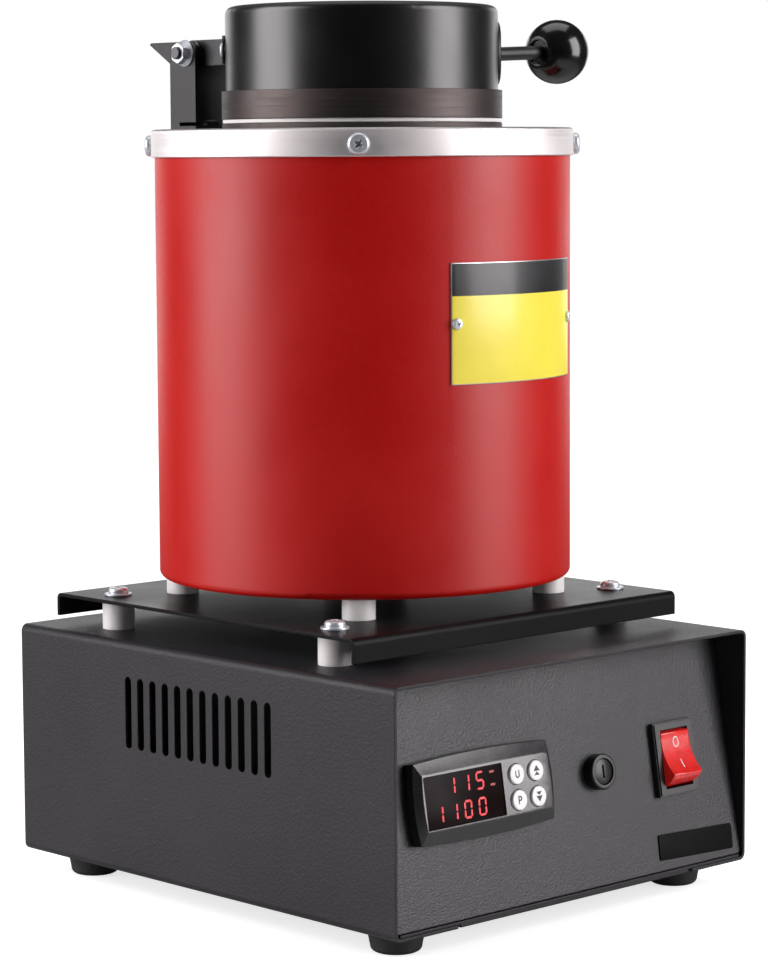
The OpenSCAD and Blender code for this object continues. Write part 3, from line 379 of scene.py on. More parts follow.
def ball_shader():
    """Gloss black knob."""
    s = Shader("ball_bakelite")
    haze = s.noise(90, 4.0, 0.6)
    s.colour(s.ramp(haze, [(0.3, (0.004, 0.004, 0.004)), (0.7, (0.007, 0.007, 0.007))]))
    s.rough(s.value(haze, 0.14, 0.22))
    s.bump(s.noise(700, 2.0), 0.00001, 0.5, 0.0004)
    return s.set(Specular_IOR_Level=0.55)


BALL = ball_shader()


def rocker_shader():
    """Translucent red moulding with a grid of fine dots moulded into its front."""
    s = Shader("rocker_red")
    pitch = 0.00078
    sep = s.node("ShaderNodeSeparateXYZ")
    s.link(s.coord, sep.inputs[0])
    cells = []
    for v in (sep.outputs[0], sep.outputs[2]):
        wave = s.math("SINE", s.math("MULTIPLY", v, 2 * math.pi / pitch))
        cells.append(s.value(wave, 0.0, 1.0, 0.0, 0.9))
    dots = s.math("MULTIPLY", cells[0], cells[1])
    glow = s.noise(260, 3.0, 0.5)
    base = s.ramp(glow, [(0.3, (0.54, 0.003, 0.003)), (0.7, (0.74, 0.006, 0.006))])
    s.colour(s.mix(s.math("MULTIPLY", dots, 0.45), base, (0.95, 0.16, 0.14)))
    s.rough(s.value(dots, 0.16, 0.30, 0.0, 1.0))
    s.bump(dots, 0.00010, 0.7, 0.0004)
    return s.set(Subsurface_Weight=0.35, Subsurface_Radius=(0.003, 0.0004, 0.0003),
                 Emission_Color=(1.0, 0.03, 0.02, 1), Emission_Strength=0.10, Coat_Weight=0.5)


ROCKER = rocker_shader()


def display_shader():
    """Dark red window of the display."""
    s = Shader("display_glass")
    haze = s.noise(140, 4.0, 0.6)
    s.colour(s.ramp(haze, [(0.3, (0.004, 0.0008, 0.001)), (0.7, (0.007, 0.0012, 0.0014))]))
    s.rough(s.value(haze, 0.30, 0.38))
    s.bump(s.noise(300, 2.0), 0.00001, 0.4, 0.0003)
    return s.set(Specular_IOR_Level=0.06)


DISPLAY = display_shader()


def lamp_shader(name, colour, strength):
    """A lit segment whose glow varies a little at random."""
    s = Shader(name)
    spread = s.noise(900, 2.0, 0.5)
    glow = s.ramp(spread, [(0.3, scaled(colour, 0.7)), (0.7, colour)])
    s.colour(glow)
    s.link(glow, s.b.inputs["Emission Color"])
    s.rough(s.value(spread, 0.3, 0.5))
    return s.set(Emission_Strength=strength)


LIT = lamp_shader("segment_lit", (0.72, 0.010, 0.020), 0.62)
DIM = lamp_shader("segment_dim", (0.32, 0.010, 0.02), 0.30)


def print_shader(name, base, rough):
    """Printed aluminium plate: ink with faint screen grain and rubbed edges."""
    s = Shader(name)
    grain = s.noise(2400, 2.0, 0.6)
    cloud = s.noise(50, 4.0, 0.6)
    c = s.ramp(cloud, [(0.3, scaled(base, 0.93)), (0.7, base)])
    lightened_edge = s.math("MULTIPLY", s.edge(0.0004), s.value(s.noise(700, 4.0), 0.0, 0.7, 0.5, 0.62))
    s.colour(s.mix(lightened_edge, c, (0.7, 0.7, 0.7)))
    s.rough(s.math("ADD", s.value(grain, -0.04, 0.04), s.value(cloud, rough - 0.04, rough + 0.05)))
    s.bump(grain, 0.00002, 0.6, 0.0003)
    return s.set(Coat_Weight=0.25, Coat_Roughness=0.15)


SIGN_YELLOW = print_shader("sign_yellow", (1.0, 0.86, 0.085), 0.34)
SIGN_BLACK = print_shader("sign_black", (0.009, 0.0088, 0.0105), 0.42)
SIGN_EDGE = metal("sign_edge", (0.75, 0.75, 0.76), 0.35, (1, 1, 8), 500)
BLANK = plastic("blank_plate", (0.0012, 0.0011, 0.0013), 0.42, 2400, 0.00002, specular=0.06)


def coil_shader():
    """Oxidised resistance wire."""
    s = Shader("heating_wire")
    scale_mark = s.noise(900, 4.0, 0.7)
    s.colour(s.ramp(scale_mark, [(0.3, (0.10, 0.085, 0.075)), (0.7, (0.24, 0.20, 0.17))]))
    s.rough(s.value(scale_mark, 0.5, 0.7))
    s.bump(scale_mark, 0.00005)
    return s.set(Metallic=0.6)


COIL = coil_shader()

# ---------------------------------------------------------------- mesh helpers


def finish_mesh(bm, name, material, matrix, body, smooth_angle=35.0):
    """Turns a bmesh in millimetres into a piece that rides on a body."""
    bmesh.ops.recalc_face_normals(bm, faces=bm.faces)
    mesh = bpy.data.meshes.new(name)
    bmesh.ops.transform(bm, matrix=Matrix.Scale(MM, 4) @ matrix, verts=bm.verts)
    bm.to_mesh(mesh)
    bm.free()
    for m in material if isinstance(material, (list, tuple)) else (material,):
        mesh.materials.append(m.m)
    o = bpy.data.objects.new(name, mesh)
    bpy.context.scene.collection.objects.link(o)
    mesh.shade_smooth()
    mesh.set_sharp_from_angle(angle=math.radians(smooth_angle))
    if body:
        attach(o, body)
    return o


def join_rings(bm, rings):
    """Skins a list of equal point rings, with a face over each end."""
    made = [[bm.verts.new(p) for p in ring] for ring in rings]
    count = len(made[0])
    for a, b in zip(made, made[1:]):
        for i in range(count):
            j = (i + 1) % count
            bm.faces.new((a[i], a[j], b[j], b[i]))
    bm.faces.new(made[0][::-1])
    bm.faces.new(made[-1])
    return made


def lathe(bm, profile, steps, matrix=None):
    """Turns a profile of (radius, height) round the local Z axis; radius 0 closes an end."""
    turn = [2 * math.pi * i / steps for i in range(steps)]
    rings = []
    for r, z in profile:
        if r == 0:
            rings.append([bm.verts.new((0, 0, z))])
        else:
            rings.append([bm.verts.new((r * math.cos(a), r * math.sin(a), z)) for a in turn])
    for a, b in zip(rings, rings[1:]):
        for i in range(steps):
            j = (i + 1) % steps
            if len(a) == 1:
                bm.faces.new((a[0], b[i], b[j]))
            elif len(b) == 1:
                bm.faces.new((a[i], a[j], b[0]))
            else:
                bm.faces.new((a[i], a[j], b[j], b[i]))
    if matrix:
        bmesh.ops.transform(bm, matrix=matrix, verts=[v for ring in rings for v in ring])


def prism(bm, outline, low, high, matrix=None):
    """A straight prism over a 2D outline."""
    rings = join_rings(bm, [[(x, y, low) for x, y in outline], [(x, y, high) for x, y in outline]])
    if matrix:
        bmesh.ops.transform(bm, matrix=matrix, verts=[v for ring in rings for v in ring])


def rounded_box(w, h, r, steps=5):
    """Outline of a rectangle with round corners, round the origin."""
    pts = []
    x, y = w / 2 - r, h / 2 - r
    for cx, cy, a0 in ((x, y, 0), (-x, y, 90), (-x, -y, 180), (x, -y, 270)):
        for i in range(steps + 1):
            a = math.radians(a0 + 90 * i / steps)
            pts.append((cx + r * math.cos(a), cy + r * math.sin(a)))
    return pts


def cut(target, cutters):
    """Applies an exact boolean difference and removes the cutters."""
    for c in cutters:
        mod = target.modifiers.new("cut", "BOOLEAN")
        mod.operation, mod.solver, mod.object = "DIFFERENCE", "EXACT", c
    bake(target)
    target.data.set_sharp_from_angle(angle=math.radians(30))
    for c in cutters:
        bpy.data.objects.remove(c)


def bake(o):
    """Replaces the object's mesh by its evaluated mesh."""
    dg = bpy.context.evaluated_depsgraph_get()
    mesh = bpy.data.meshes.new_from_object(o.evaluated_get(dg), preserve_all_data_layers=True, depsgraph=dg)
    old = o.data
    o.modifiers.clear()
    o.data = mesh
    bpy.data.meshes.remove(old)


def bevel(o, width, angle):
    """Rounds the edges that are sharper than an angle."""
    mod = o.modifiers.new("edge", "BEVEL")
    mod.width, mod.segments, mod.limit_method = width * MM, 2, "ANGLE"
    mod.angle_limit = math.radians(angle)


def tool(build, matrix):
    """A throw-away cutter."""
    bm = bmesh.new()
    build(bm)
    return finish_mesh(bm, "cutter", (), matrix, None)


# ---------------------------------------------------------------- carried-over CAD nodes

SHADERS = {
    CASING: ("casing_shell", "base_plate", "rear_panel"),
    PANEL: ("front_panel",),
    TRAY: ("tray",),
    HINGE: ("hinge_bracket", "hinge_arm", "handle_plate", "bracket_screws"),
    RED: ("drum_shell",),
    ZINC: ("panel_screws", "foot_screws", "inlet_screws", "tray_screws", "drum_screws", "ring_screws",
           "label_screws", "arm_screws", "hinge_nut", "hinge_spacers", "handle_nut", "fuse_tube"),
    DARK_BOLT: ("hinge_pin",),
    STEEL: ("drum_floor",),
    RING: ("top_ring",),
    MOUTH: ("mouth_ring",),
    BAND: ("lid_band",),
    RUBBER: ("rubber_feet",),
    BLACK: ("rocker_frame", "handle_rod"),
    INLET: ("power_inlet",),
    BEZEL: ("controller_housing",),
    FUSE: ("fuse_holder", "fuse_cap"),
    KEY: ("key_upper_left", "key_upper_right", "key_lower_left", "key_lower_right"),
    RELAY: ("relay",),
    TERMINAL: ("terminal_block",),
    CERAMIC: ("lower_standoffs", "upper_standoffs", "lead_bushings", "lid_ceramic", "thermocouple"),
    CORE: ("heater_core", "crucible_stand"),
    FIBRE: ("insulation",),
    GRAPHITE: ("crucible",),
    ENAMEL: ("lid_cover",),
    BALL: ("ball_knob",),
    ROCKER: ("rocker_button",),
    DISPLAY: ("display_window",),
    SIGN_YELLOW: ("label_plate",),
}
for shader, names in SHADERS.items():
    for n in names:
        mesh = NODES[n].data
        if not mesh.materials:
            mesh.materials.append(shader.m)
        for i in range(len(mesh.materials)):
            mesh.materials[i] = shader.m

# ---------------------------------------------------------------- controller

CTRL = panel(-49.9, 59.5)
FACE_OUT = 7.0
KEY_R, KEY_LOW, KEY_TOP = 4.0, 4.2, 8.0
KEY_X, KEY_Y = (15.7, 26.5), (4.8, -5.4)
WINDOW_X, WINDOW_W, WINDOW_H = -12.8, 42.6, 20.6


def controller_ring(half_w, half_h, bulge, end, out, count=28, side=14):
    """Outline of four sides bowed out between the corners."""
    def bow(i, n):
        return 1 - (1 - 2 * i / n) ** 2

    top = [(half_w - 2 * half_w * i / count, half_h + bulge * bow(i, count)) for i in range(count + 1)]
    left = [(-half_w - end * bow(i, side), half_h - 2 * half_h * i / side) for i in range(1, side)]
    return [(x, y, out) for x, y in top + left] + [(-x, -y, out) for x, y in top + left]


def controller_face():
    """Moulded housing with bowed sides, sloping facets, and pockets for the window and the keys."""
    bm = bmesh.new()
    rings = [
        controller_ring(36.3, 15.4, 1.3, 1.6, 0.02),
        controller_ring(36.65, 15.75, 1.3, 1.6, 0.5),
        controller_ring(36.65, 15.75, 1.3, 1.6, 4.4),
        controller_ring(36.5, 15.6, 1.3, 1.6, 4.75),
        controller_ring(36.15, 15.2, 1.25, 1.5, 4.95),
        controller_ring(34.7, 11.3, 0.3, 0.8, 6.75),
        controller_ring(34.45, 11.0, 0.25, 0.75, 6.95),
        controller_ring(34.1, 10.7, 0.2, 0.7, FACE_OUT),
    ]
    join_rings(bm, rings)
    o = finish_mesh(bm, "controller_face", BEZEL, CTRL, None, 24.0)
    window = rounded_box(WINDOW_W - 0.1, WINDOW_H - 0.1, 0.4)
    cutters = [tool(lambda b: prism(b, window, 6.1, 9), CTRL @ at(WINDOW_X, 0, 0))]
    hole_r, mouth_r = KEY_R + 0.15, KEY_R + 0.3
    hole = [(0, 3), (hole_r, 3), (hole_r, 6.8), (mouth_r, 7.05), (mouth_r, 9), (0, 9)]
    for x in KEY_X:
        for y in KEY_Y:
            cutters.append(tool(lambda b: lathe(b, hole, 48), CTRL @ at(x, y, 0)))
    cut(o, cutters)
    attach(o, "furnace")
    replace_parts(o, "controller_housing")


controller_face()


# Seven-segment figures: each name lists the segments that are lit
SEGMENTS = {"0": "abcdef", "1": "bc", "5": "afgcd"}


def segment(bm, x, y, length, upright, slant):
    """One bar with pointed ends, sheared as the figures are."""
    half, w = length / 2, 0.42
    pts = [(-half, 0), (-half + w, w), (half - w, w), (half, 0), (half - w, -w), (-half + w, -w)]
    if upright:
        pts = [(b, a) for a, b in pts]
    pts = [(x + a + slant * (y + b), y + b) for a, b in pts]
    prism(bm, pts, 0.0, 0.05)


def figures():
    """Two rows of lit figures and the two dim marks beside the upper one."""
    w, h, slant, first, step, lift = 3.5, 3.15, 0.05, -19.5, 7.8, 6.73
    bm = bmesh.new()
    for row_y, cells in ((5.2, {0: "1", 1: "1", 2: "5"}), (-4.9, {-1: "1", 0: "1", 1: "0", 2: "0"})):
        for i, figure in cells.items():
            part = bmesh.new()
            for s in SEGMENTS[figure]:
                x = {"a": 0, "d": 0, "g": 0, "b": w / 2, "c": w / 2, "e": -w / 2, "f": -w / 2}[s]
                y = {"a": h, "d": -h, "g": 0, "b": h / 2, "f": h / 2, "c": -h / 2, "e": -h / 2}[s]
                segment(part, x, y, (w if s in "adg" else h) - 0.25, s in "bcef", slant)
            bmesh.ops.translate(part, vec=(first + step * i, row_y, 0), verts=part.verts)
            keep = bpy.data.meshes.new("part")
            part.to_mesh(keep)
            part.free()
            bm.from_mesh(keep)
            bpy.data.meshes.remove(keep)
    finish_mesh(bm, "display_figures", LIT, CTRL @ at(0, 0, lift), "furnace")
    bm = bmesh.new()
    for y in (7.7, 2.7):
        prism(bm, rounded_box(2.6, 0.9, 0.3), 0, 0.05, at(2.9, y, 0))
    finish_mesh(bm, "display_marks", DIM, CTRL @ at(0, 0, lift), "furnace")


figures()


def stroke(bm, points, width, matrix, thick=0.06):
    """A flat pen stroke along points, lying on the local XY plane."""
    for (x0, y0), (x1, y1) in zip(points, points[1:]):
        d = Vector((x1 - x0, y1 - y0)).normalized() * width / 2
        n = Vector((-d.y, d.x))
        quad = [(x0 - d.x + n.x, y0 - d.y + n.y), (x0 - d.x - n.x, y0 - d.y - n.y),
                (x1 + d.x - n.x, y1 + d.y - n.y), (x1 + d.x + n.x, y1 + d.y + n.y)]
        prism(bm, quad, 0.0, thick, matrix)


def key_marks():
    """A cup, a loop with a stem and two pairs of filled arrowheads, printed on the four keys."""
    half_turn = [math.radians(a) for a in range(0, 181, 20)]
    arc = [(-0.9 * math.cos(a), -0.35 - 0.9 * math.sin(a)) for a in half_turn]
    bowl = [(0.1 + 0.72 * math.sin(a), 0.6 + 0.7 * math.cos(a)) for a in half_turn]
    bowl = [(-0.6, 1.3)] + bowl + [(-0.6, -0.1)]
    lines = {
        "key_upper_left": (0, 0, [[(-0.9, 1.25)] + arc + [(0.9, 1.25)]]),
        "key_lower_left": (0, 1, [[(-0.7, -1.35), (-0.7, 1.5)], bowl]),
    }
    heads = {"key_upper_right": (1, 0, 1), "key_lower_right": (1, 1, -1)}
    lift = FACE_OUT + 0.99
    for name, (i, j, strokes) in lines.items():
        bm = bmesh.new()
        for k, line in enumerate(strokes):
            stroke(bm, line, 0.46, at(0, 0, 0.004 * k))
        finish_mesh(bm, name + "_mark", KEY_INK, CTRL @ at(KEY_X[i], KEY_Y[j], lift), name)
    for name, (i, j, way) in heads.items():
        bm = bmesh.new()
        for low, high, half in ((-0.15, 2.15, 1.7), (-1.85, -0.45, 1.5)):
            pts = [(-half, low * way), (half, low * way), (0.0, high * way)]
            prism(bm, pts if way > 0 else pts[::-1], 0.0, 0.06)
        finish_mesh(bm, name + "_mark", KEY_INK, CTRL @ at(KEY_X[i], KEY_Y[j], lift), name)


key_marks()


def controller_keys():
    """Round keys with a crisp edge and a barely hollow crown, and the glass of the window."""
    names = (("key_upper_left", "key_upper_right"), ("key_lower_left", "key_lower_right"))
    for j, row in enumerate(names):
        for i, name in enumerate(row):
            bm = bmesh.new()
            lathe(bm, [(0, KEY_LOW), (KEY_R - 0.1, KEY_LOW), (KEY_R, KEY_LOW + 0.2), (KEY_R, KEY_TOP - 0.45),
                       (KEY_R - 0.07, KEY_TOP - 0.18), (KEY_R - 0.25, KEY_TOP - 0.03), (KEY_R - 0.5, KEY_TOP),
                       (KEY_R / 2, KEY_TOP - 0.02), (0, KEY_TOP - 0.03)], 56)
            o = finish_mesh(bm, name + "_cap", KEY, CTRL @ at(KEY_X[i], KEY_Y[j], 0), name, 40)
            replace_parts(o, name)
    bm = bmesh.new()
    rings = []
    for inset, out in ((0.2, 5.8), (0.2, 6.62), (0.56, 6.72)):
        rings.append([(x, y, out) for x, y in rounded_box(WINDOW_W - inset, WINDOW_H - inset, 0.4)])
    join_rings(bm, rings)
    o = finish_mesh(bm, "display_glass", DISPLAY, CTRL @ at(WINDOW_X, 0, 0), "furnace")
    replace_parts(o, "display_window")


controller_keys()

# ---------------------------------------------------------------- fuse cap


def slotted_cap():
    """Cap of the fuse holder, with a narrow slot."""
    place = panel(18.4, 58.0)
    r, top, stem_r, stem_low = 5.2, 4.3, 3.6, -1.6
    bm = bmesh.new()
    lathe(bm, [(0, stem_low), (2.7, stem_low), (stem_r, stem_low), (stem_r, 0), (r, 0), (r, top - 0.35),
               (r - 0.1, top - 0.12), (r - 0.35, top), (0, top)], 56)
    o = finish_mesh(bm, "fuse_cap_slotted", FUSE, place, None, 40)
    slot = rounded_box(0.95, 5.4, 0.3)
    cut(o, [tool(lambda b: prism(b, slot, top - 1.3, top + 1), place)])
    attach(o, "fuse_cap")
    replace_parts(o, "fuse_cap")


slotted_cap()

# ---------------------------------------------------------------- rocker

SW = panel(64.5, 57.5, -1.0)
ROCK = SW @ Matrix.Rotation(math.radians(-17), 4, "X")
rocker_r, lip_out, hollow = 11.6, 7.4, 2.0
half_rock = math.sqrt(rocker_r ** 2 - lip_out ** 2)
front_r = (half_rock ** 2 + hollow ** 2) / (2 * hollow)


def rocker_front(y):
    """Height of the hollow front at a place along the rocker."""
    return lip_out + front_r - hollow - math.sqrt(front_r ** 2 - y * y)


def ring_mark(bm, cx, cy, rx, ry, width, height, steps=40):
    """An oval line wrapped on the hollow front."""
    rows = []
    for dr, dz in ((-width / 2, -0.05), (-width / 2, height), (width / 2, height), (width / 2, -0.05)):
        row = []
        for i in range(steps):
            a = 2 * math.pi * i / steps
            y = cy + (ry + dr) * math.sin(a)
            row.append(bm.verts.new((cx + (rx + dr) * math.cos(a), y, rocker_front(y) + dz)))
        rows.append(row)
    for a, b in zip(rows, rows[1:] + rows[:1]):
        for i in range(steps):
            j = (i + 1) % steps
            bm.faces.new((a[i], a[j], b[j], b[i]))


def rocker_shell():
    """Rocker with a hollowed front, ends that follow the swing, and crisp moulded edges."""
    half_w, steps = 8.6, 20
    front = []
    for i in range(steps + 1):
        y = -half_rock + 2 * half_rock * i / steps
        front.append((y, rocker_front(y)))
    start = math.degrees(math.atan2(lip_out, half_rock))
    end = []
    for i in range(1, 13):
        a = math.radians(start - (start + 9) * i / 12)
        end.append((rocker_r * math.cos(a), rocker_r * math.sin(a)))
    outline = front + end + [(0.0, -6.5)] + [(-y, z) for y, z in end[::-1]]
    bm = bmesh.new()
    join_rings(bm, [[(x, y, z) for y, z in outline] for x in (-half_w, half_w)])
    o = finish_mesh(bm, "rocker_shell", ROCKER, ROCK, "rocker", 30)
    bevel(o, 0.25, 30)
    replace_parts(o, "rocker_button")


rocker_shell()


def rocker_marks():
    """The generic off and on marks, printed on the front."""
    bm = bmesh.new()
    half, height = 0.25, 0.07
    ring_mark(bm, 0, 5.0, 1.5, 2.0, 2 * half, height)
    steps, y0, y1 = 10, -6.2, -2.4
    rings = []
    for i in range(steps + 1):
        y = y0 + (y1 - y0) * i / steps
        z = rocker_front(y)
        rings.append([(-half, y, z - 0.05), (half, y, z - 0.05), (half, y, z + height), (-half, y, z + height)])
    join_rings(bm, rings)
    finish_mesh(bm, "rocker_marks", WHITE_INK, ROCK, "rocker")


rocker_marks()

# ---------------------------------------------------------------- blank plate on the front panel


def blank_plate():
    """Bare plate, set a little askew as in the photograph."""
    w, h = 45.6, 10.6
    bm = bmesh.new()
    rings = []
    for inset, out in ((0.0, 0.01), (0.0, 0.42), (0.12, 0.54), (0.35, 0.58)):
        rings.append([(x, y, out) for x, y in rounded_box(w - 2 * inset, h - 2 * inset, 0.9 - inset)])
    join_rings(bm, rings)
    place = panel(73.2, 21.5) @ Matrix.Rotation(math.radians(-2), 4, "Z")
    finish_mesh(bm, "blank_plate", BLANK, place, "furnace", 20)


blank_plate()

# ---------------------------------------------------------------- label plate on the drum

LABEL_MID, LABEL_SPAN, LABEL_Z, LABEL_H = -83.8, 51.7, 240.0, 48.5


def label_sign():
    """Thin plate rolled to the drum: bright edge, printed face in two plain fields."""
    bm = bmesh.new()
    r0, t = DRUM_R + 0.06, 0.6
    half = math.radians(LABEL_SPAN / 2)
    cols = 48
    split = 251.2
    low, high = LABEL_Z - LABEL_H / 2, LABEL_Z + LABEL_H / 2
    rim = 0.35
    heights = [low, low + rim, split - 0.15, split + 0.15, high - rim, high]
    inner = half - math.radians(0.25)
    angles = [-half] + [-inner + 2 * inner * i / cols for i in range(cols + 1)] + [half]
    mid = math.radians(LABEL_MID)

    def p(a, r, z):
        return (r * math.cos(mid + a), r * math.sin(mid + a), z)

    front, back = {}, {}
    for i, a in enumerate(angles):
        for k, z in enumerate(heights):
            edge = i in (0, len(angles) - 1) or k in (0, len(heights) - 1)
            front[i, k] = bm.verts.new(p(a, r0 + t - (0.12 if edge else 0.0), z))
            back[i, k] = bm.verts.new(p(a, r0, z))
    n, m = len(angles), len(heights)
    for i in range(n - 1):
        for k in range(m - 1):
            f = bm.faces.new((front[i, k], front[i + 1, k], front[i + 1, k + 1], front[i, k + 1]))
            rim_face = i in (0, n - 2) or k in (0, m - 2)
            f.material_index = 0 if rim_face else (2 if k >= 2 else 1)
            bm.faces.new((back[i, k], back[i, k + 1], back[i + 1, k + 1], back[i + 1, k]))
    for i in range(n - 1):
        bm.faces.new((front[i, 0], back[i, 0], back[i + 1, 0], front[i + 1, 0]))
        bm.faces.new((front[i, m - 1], front[i + 1, m - 1], back[i + 1, m - 1], back[i, m - 1]))
    for k in range(m - 1):
        bm.faces.new((front[0, k], front[0, k + 1], back[0, k + 1], back[0, k]))
        bm.faces.new((front[n - 1, k], back[n - 1, k], back[n - 1, k + 1], front[n - 1, k + 1]))
    o = finish_mesh(bm, "label_sign", (SIGN_EDGE, SIGN_YELLOW, SIGN_BLACK), AXIS, "furnace", 50)
    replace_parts(o, "label_plate")


label_sign()

# ---------------------------------------------------------------- screws with formed heads


def cross_cutter(d, h, turn):
    """A tapered cross, wider at its mouth."""
    def build(bm):
        r = d / 2
        rot = Matrix.Rotation(math.radians(turn), 4, "Z")
        rings = []
        for w, l, z in ((0.09 * r, 0.20 * r, h * 0.38), (0.15 * r, 0.56 * r, h * 1.25)):
            pts = [(w, w), (w, l), (-w, l), (-w, w), (-l, w), (-l, -w),
                   (-w, -w), (-w, -l), (w, -l), (w, -w), (l, -w), (l, w)]
            rings.append([rot @ Vector((x, y, z)) for x, y in pts])
        join_rings(bm, rings)
    return build


def screw_set(name, node, places, d, h, body, shank, shank_l, washer=None, seed=0):
    """Replaces a node of screws by formed ones, each turned a little differently."""
    parts = []
    for i, place in enumerate(places):
        turn = (seed * 37 + i * 53) % 90
        base = washer[1] if washer else 0.0
        bm = bmesh.new()
        r = d / 2
        profile = [(0, base), (r * 0.97, base), (r, base + 0.10 * h), (r, base + 0.32 * h)]
        for k in range(1, 9):
            a = math.radians(90 * k / 8)
            profile.append((r - 0.34 * r * (1 - math.cos(a)), base + h * (0.32 + 0.56 * math.sin(a))))
        profile += [(r * 0.42, base + h * 0.955), (r * 0.2, base + h * 0.99), (0, base + h)]
        lathe(bm, profile, 48)
        o = finish_mesh(bm, name + "_part", ZINC, place, None, 40)
        cut(o, [tool(cross_cutter(d, h, turn), place @ at(0, 0, base))])
        bm = bmesh.new()
        sr = shank / 2
        lathe(bm, [(0, -shank_l), (sr - 0.3, -shank_l), (sr, -shank_l + 0.4), (sr, base + 0.05),
                   (0, base + 0.05)], 32)
        if washer:
            wr, wt = washer[0] / 2, washer[1]
            lathe(bm, [(sr + 0.15, 0.0), (wr - 0.15, 0.0), (wr, 0.15), (wr, wt - 0.15), (wr - 0.15, wt),
                       (sr + 0.15, wt), (sr + 0.15, 0.0)], 48)
        parts += [o, finish_mesh(bm, name + "_part", ZINC, place, None, 40)]
    bm = bmesh.new()
    for p in parts:
        bm.from_mesh(p.data)
    for p in parts:
        bpy.data.objects.remove(p)
    bmesh.ops.scale(bm, vec=(1 / MM,) * 3, verts=bm.verts)
    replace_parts(finish_mesh(bm, name, ZINC, Matrix.Identity(4), body, 40), node)


screw_set("ring_screw_heads", "ring_screws",
          [wall(a, RING_R, RING_BOTTOM + 4.9) for a in (46, 136, 226, 316)],
          8.8, 3.0, "furnace", 4.0, 7.0, seed=1)
screw_set("tray_screw_heads", "tray_screws",
          [at(AXIS_X + sx * 79.8, AXIS_Y + sy * 67.8, TRAY_TOP) for sx in (-1, 1) for sy in (-1, 1)],
          8.4, 2.8, "furnace", 4.0, 18.0, (11.5, 0.9), seed=2)
screw_set("label_screw_heads", "label_screws",
          [wall(LABEL_MID + s * (LABEL_SPAN / 2 - 1.6), DRUM_R + 0.66, LABEL_Z) for s in (-1, 1)],
          4.6, 1.5, "furnace", 2.4, 2.2, seed=3)
screw_set("arm_screw_heads", "arm_screws",
          [wall(90 + s * ARM_SCREW_AT, LID_R + 1.3, PIVOT.z + 0.1) for s in (-1, 1)],
          6.0, 1.7, "lid", 3.0, 4.9, seed=4)


def lid_rivets():
    """Painted rivets, nearly flush, in the holes of the lid's wall beside the arm's tabs."""
    profile = [(0, -0.9), (1.58, -0.9), (1.58, 0.02), (2.0, 0.02), (1.9, 0.16), (1.2, 0.28), (0, 0.32)]
    bm = bmesh.new()
    for side in (-1, 1):
        lathe(bm, profile, 32, wall(90 + side * LID_HOLE_AT, LID_R, PIVOT.z))
    finish_mesh(bm, "lid_wall_rivets", ENAMEL, Matrix.Identity(4), "lid")


lid_rivets()

# ---------------------------------------------------------------- hinge pin's thread


def pin_thread():
    """Thread on the pin's end, outside the nut."""
    bm = bmesh.new()
    start, end, pitch, r, deep = 4.75, 6.15, 0.7, 2.5, 0.22
    steps, turns = 24, (end - start) / pitch
    section = ((-0.05, -0.26), (deep, -0.05), (deep, 0.05), (-0.05, 0.26))
    rows = []
    for i in range(int(turns * steps) + 1):
        a = 2 * math.pi * i / steps
        z = start + pitch * i / steps
        c, s = math.cos(a), math.sin(a)
        rows.append([((r + dr) * c, (r + dr) * s, z + dz) for dr, dz in section])
    join_rings(bm, rows)
    m = Matrix.Translation(PIVOT) @ Matrix.Rotation(-math.pi / 2, 4, "Y") @ at(0, 0, BRACKET_W / 2)
    finish_mesh(bm, "pin_thread", DARK_BOLT, m, "furnace")


pin_thread()

# ---------------------------------------------------------------- top ring


def ring_shell():
    """Turned ring with a rolled edge, open below."""
    wall_r, hole_r, rim, under = DRUM_R + 0.1, 57.2, 1.5, RING_TOP - 1.8
    bm = bmesh.new()
    profile = [(wall_r, RING_BOTTOM), (RING_R - 0.25, RING_BOTTOM), (RING_R, RING_BOTTOM + 0.25),
               (RING_R, RING_TOP - rim)]
    for k in range(1, 9):
        a = math.radians(90 * k / 8)
        profile.append((RING_R - rim * (1 - math.cos(a)), RING_TOP - rim * (1 - math.sin(a))))
    profile += [(hole_r + 0.3, RING_TOP), (hole_r, RING_TOP - 0.3), (hole_r, under), (wall_r, under),
                (wall_r, RING_BOTTOM)]
    lathe(bm, profile, 192)
    bmesh.ops.remove_doubles(bm, verts=bm.verts, dist=0.001)
    o = finish_mesh(bm, "ring_shell", RING, AXIS, "furnace", 40)
    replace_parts(o, "top_ring")


ring_shell()

# ---------------------------------------------------------------- moving arm of the hinge

STRAP_R, STRAP_OUT, ARM_UP, ARM_DOWN, ARM_W = LID_R + 0.05, LID_R + 1.25, 5.7, 5.6, 43.8


def arm_tab(bm, side):
    """Tab bent along the lid's wall, with a round end towards the front."""
    tab_r, middle, outer, inner = 5.9, 37.0, 9.0, -17.8
    cols = [inner + (outer - inner) * i / 18 for i in range(19)]
    cols += [outer + tab_r * math.sin(math.radians(88 * i / 12)) for i in range(1, 13)]
    rings = []
    for t in cols:
        h = tab_r if t <= outer else math.sqrt(max(0.0, tab_r ** 2 - (t - outer) ** 2))
        a = math.radians(90 + side * (middle + math.degrees(t / STRAP_OUT)))
        ring = []
        for radius, z in ((STRAP_R, -h), (STRAP_OUT, -h), (STRAP_OUT, h), (STRAP_R, h)):
            ring.append((AXIS_X + radius * math.cos(a), AXIS_Y + radius * math.sin(a), PIVOT.z + 0.1 + z))
        rings.append(ring)
    join_rings(bm, rings)


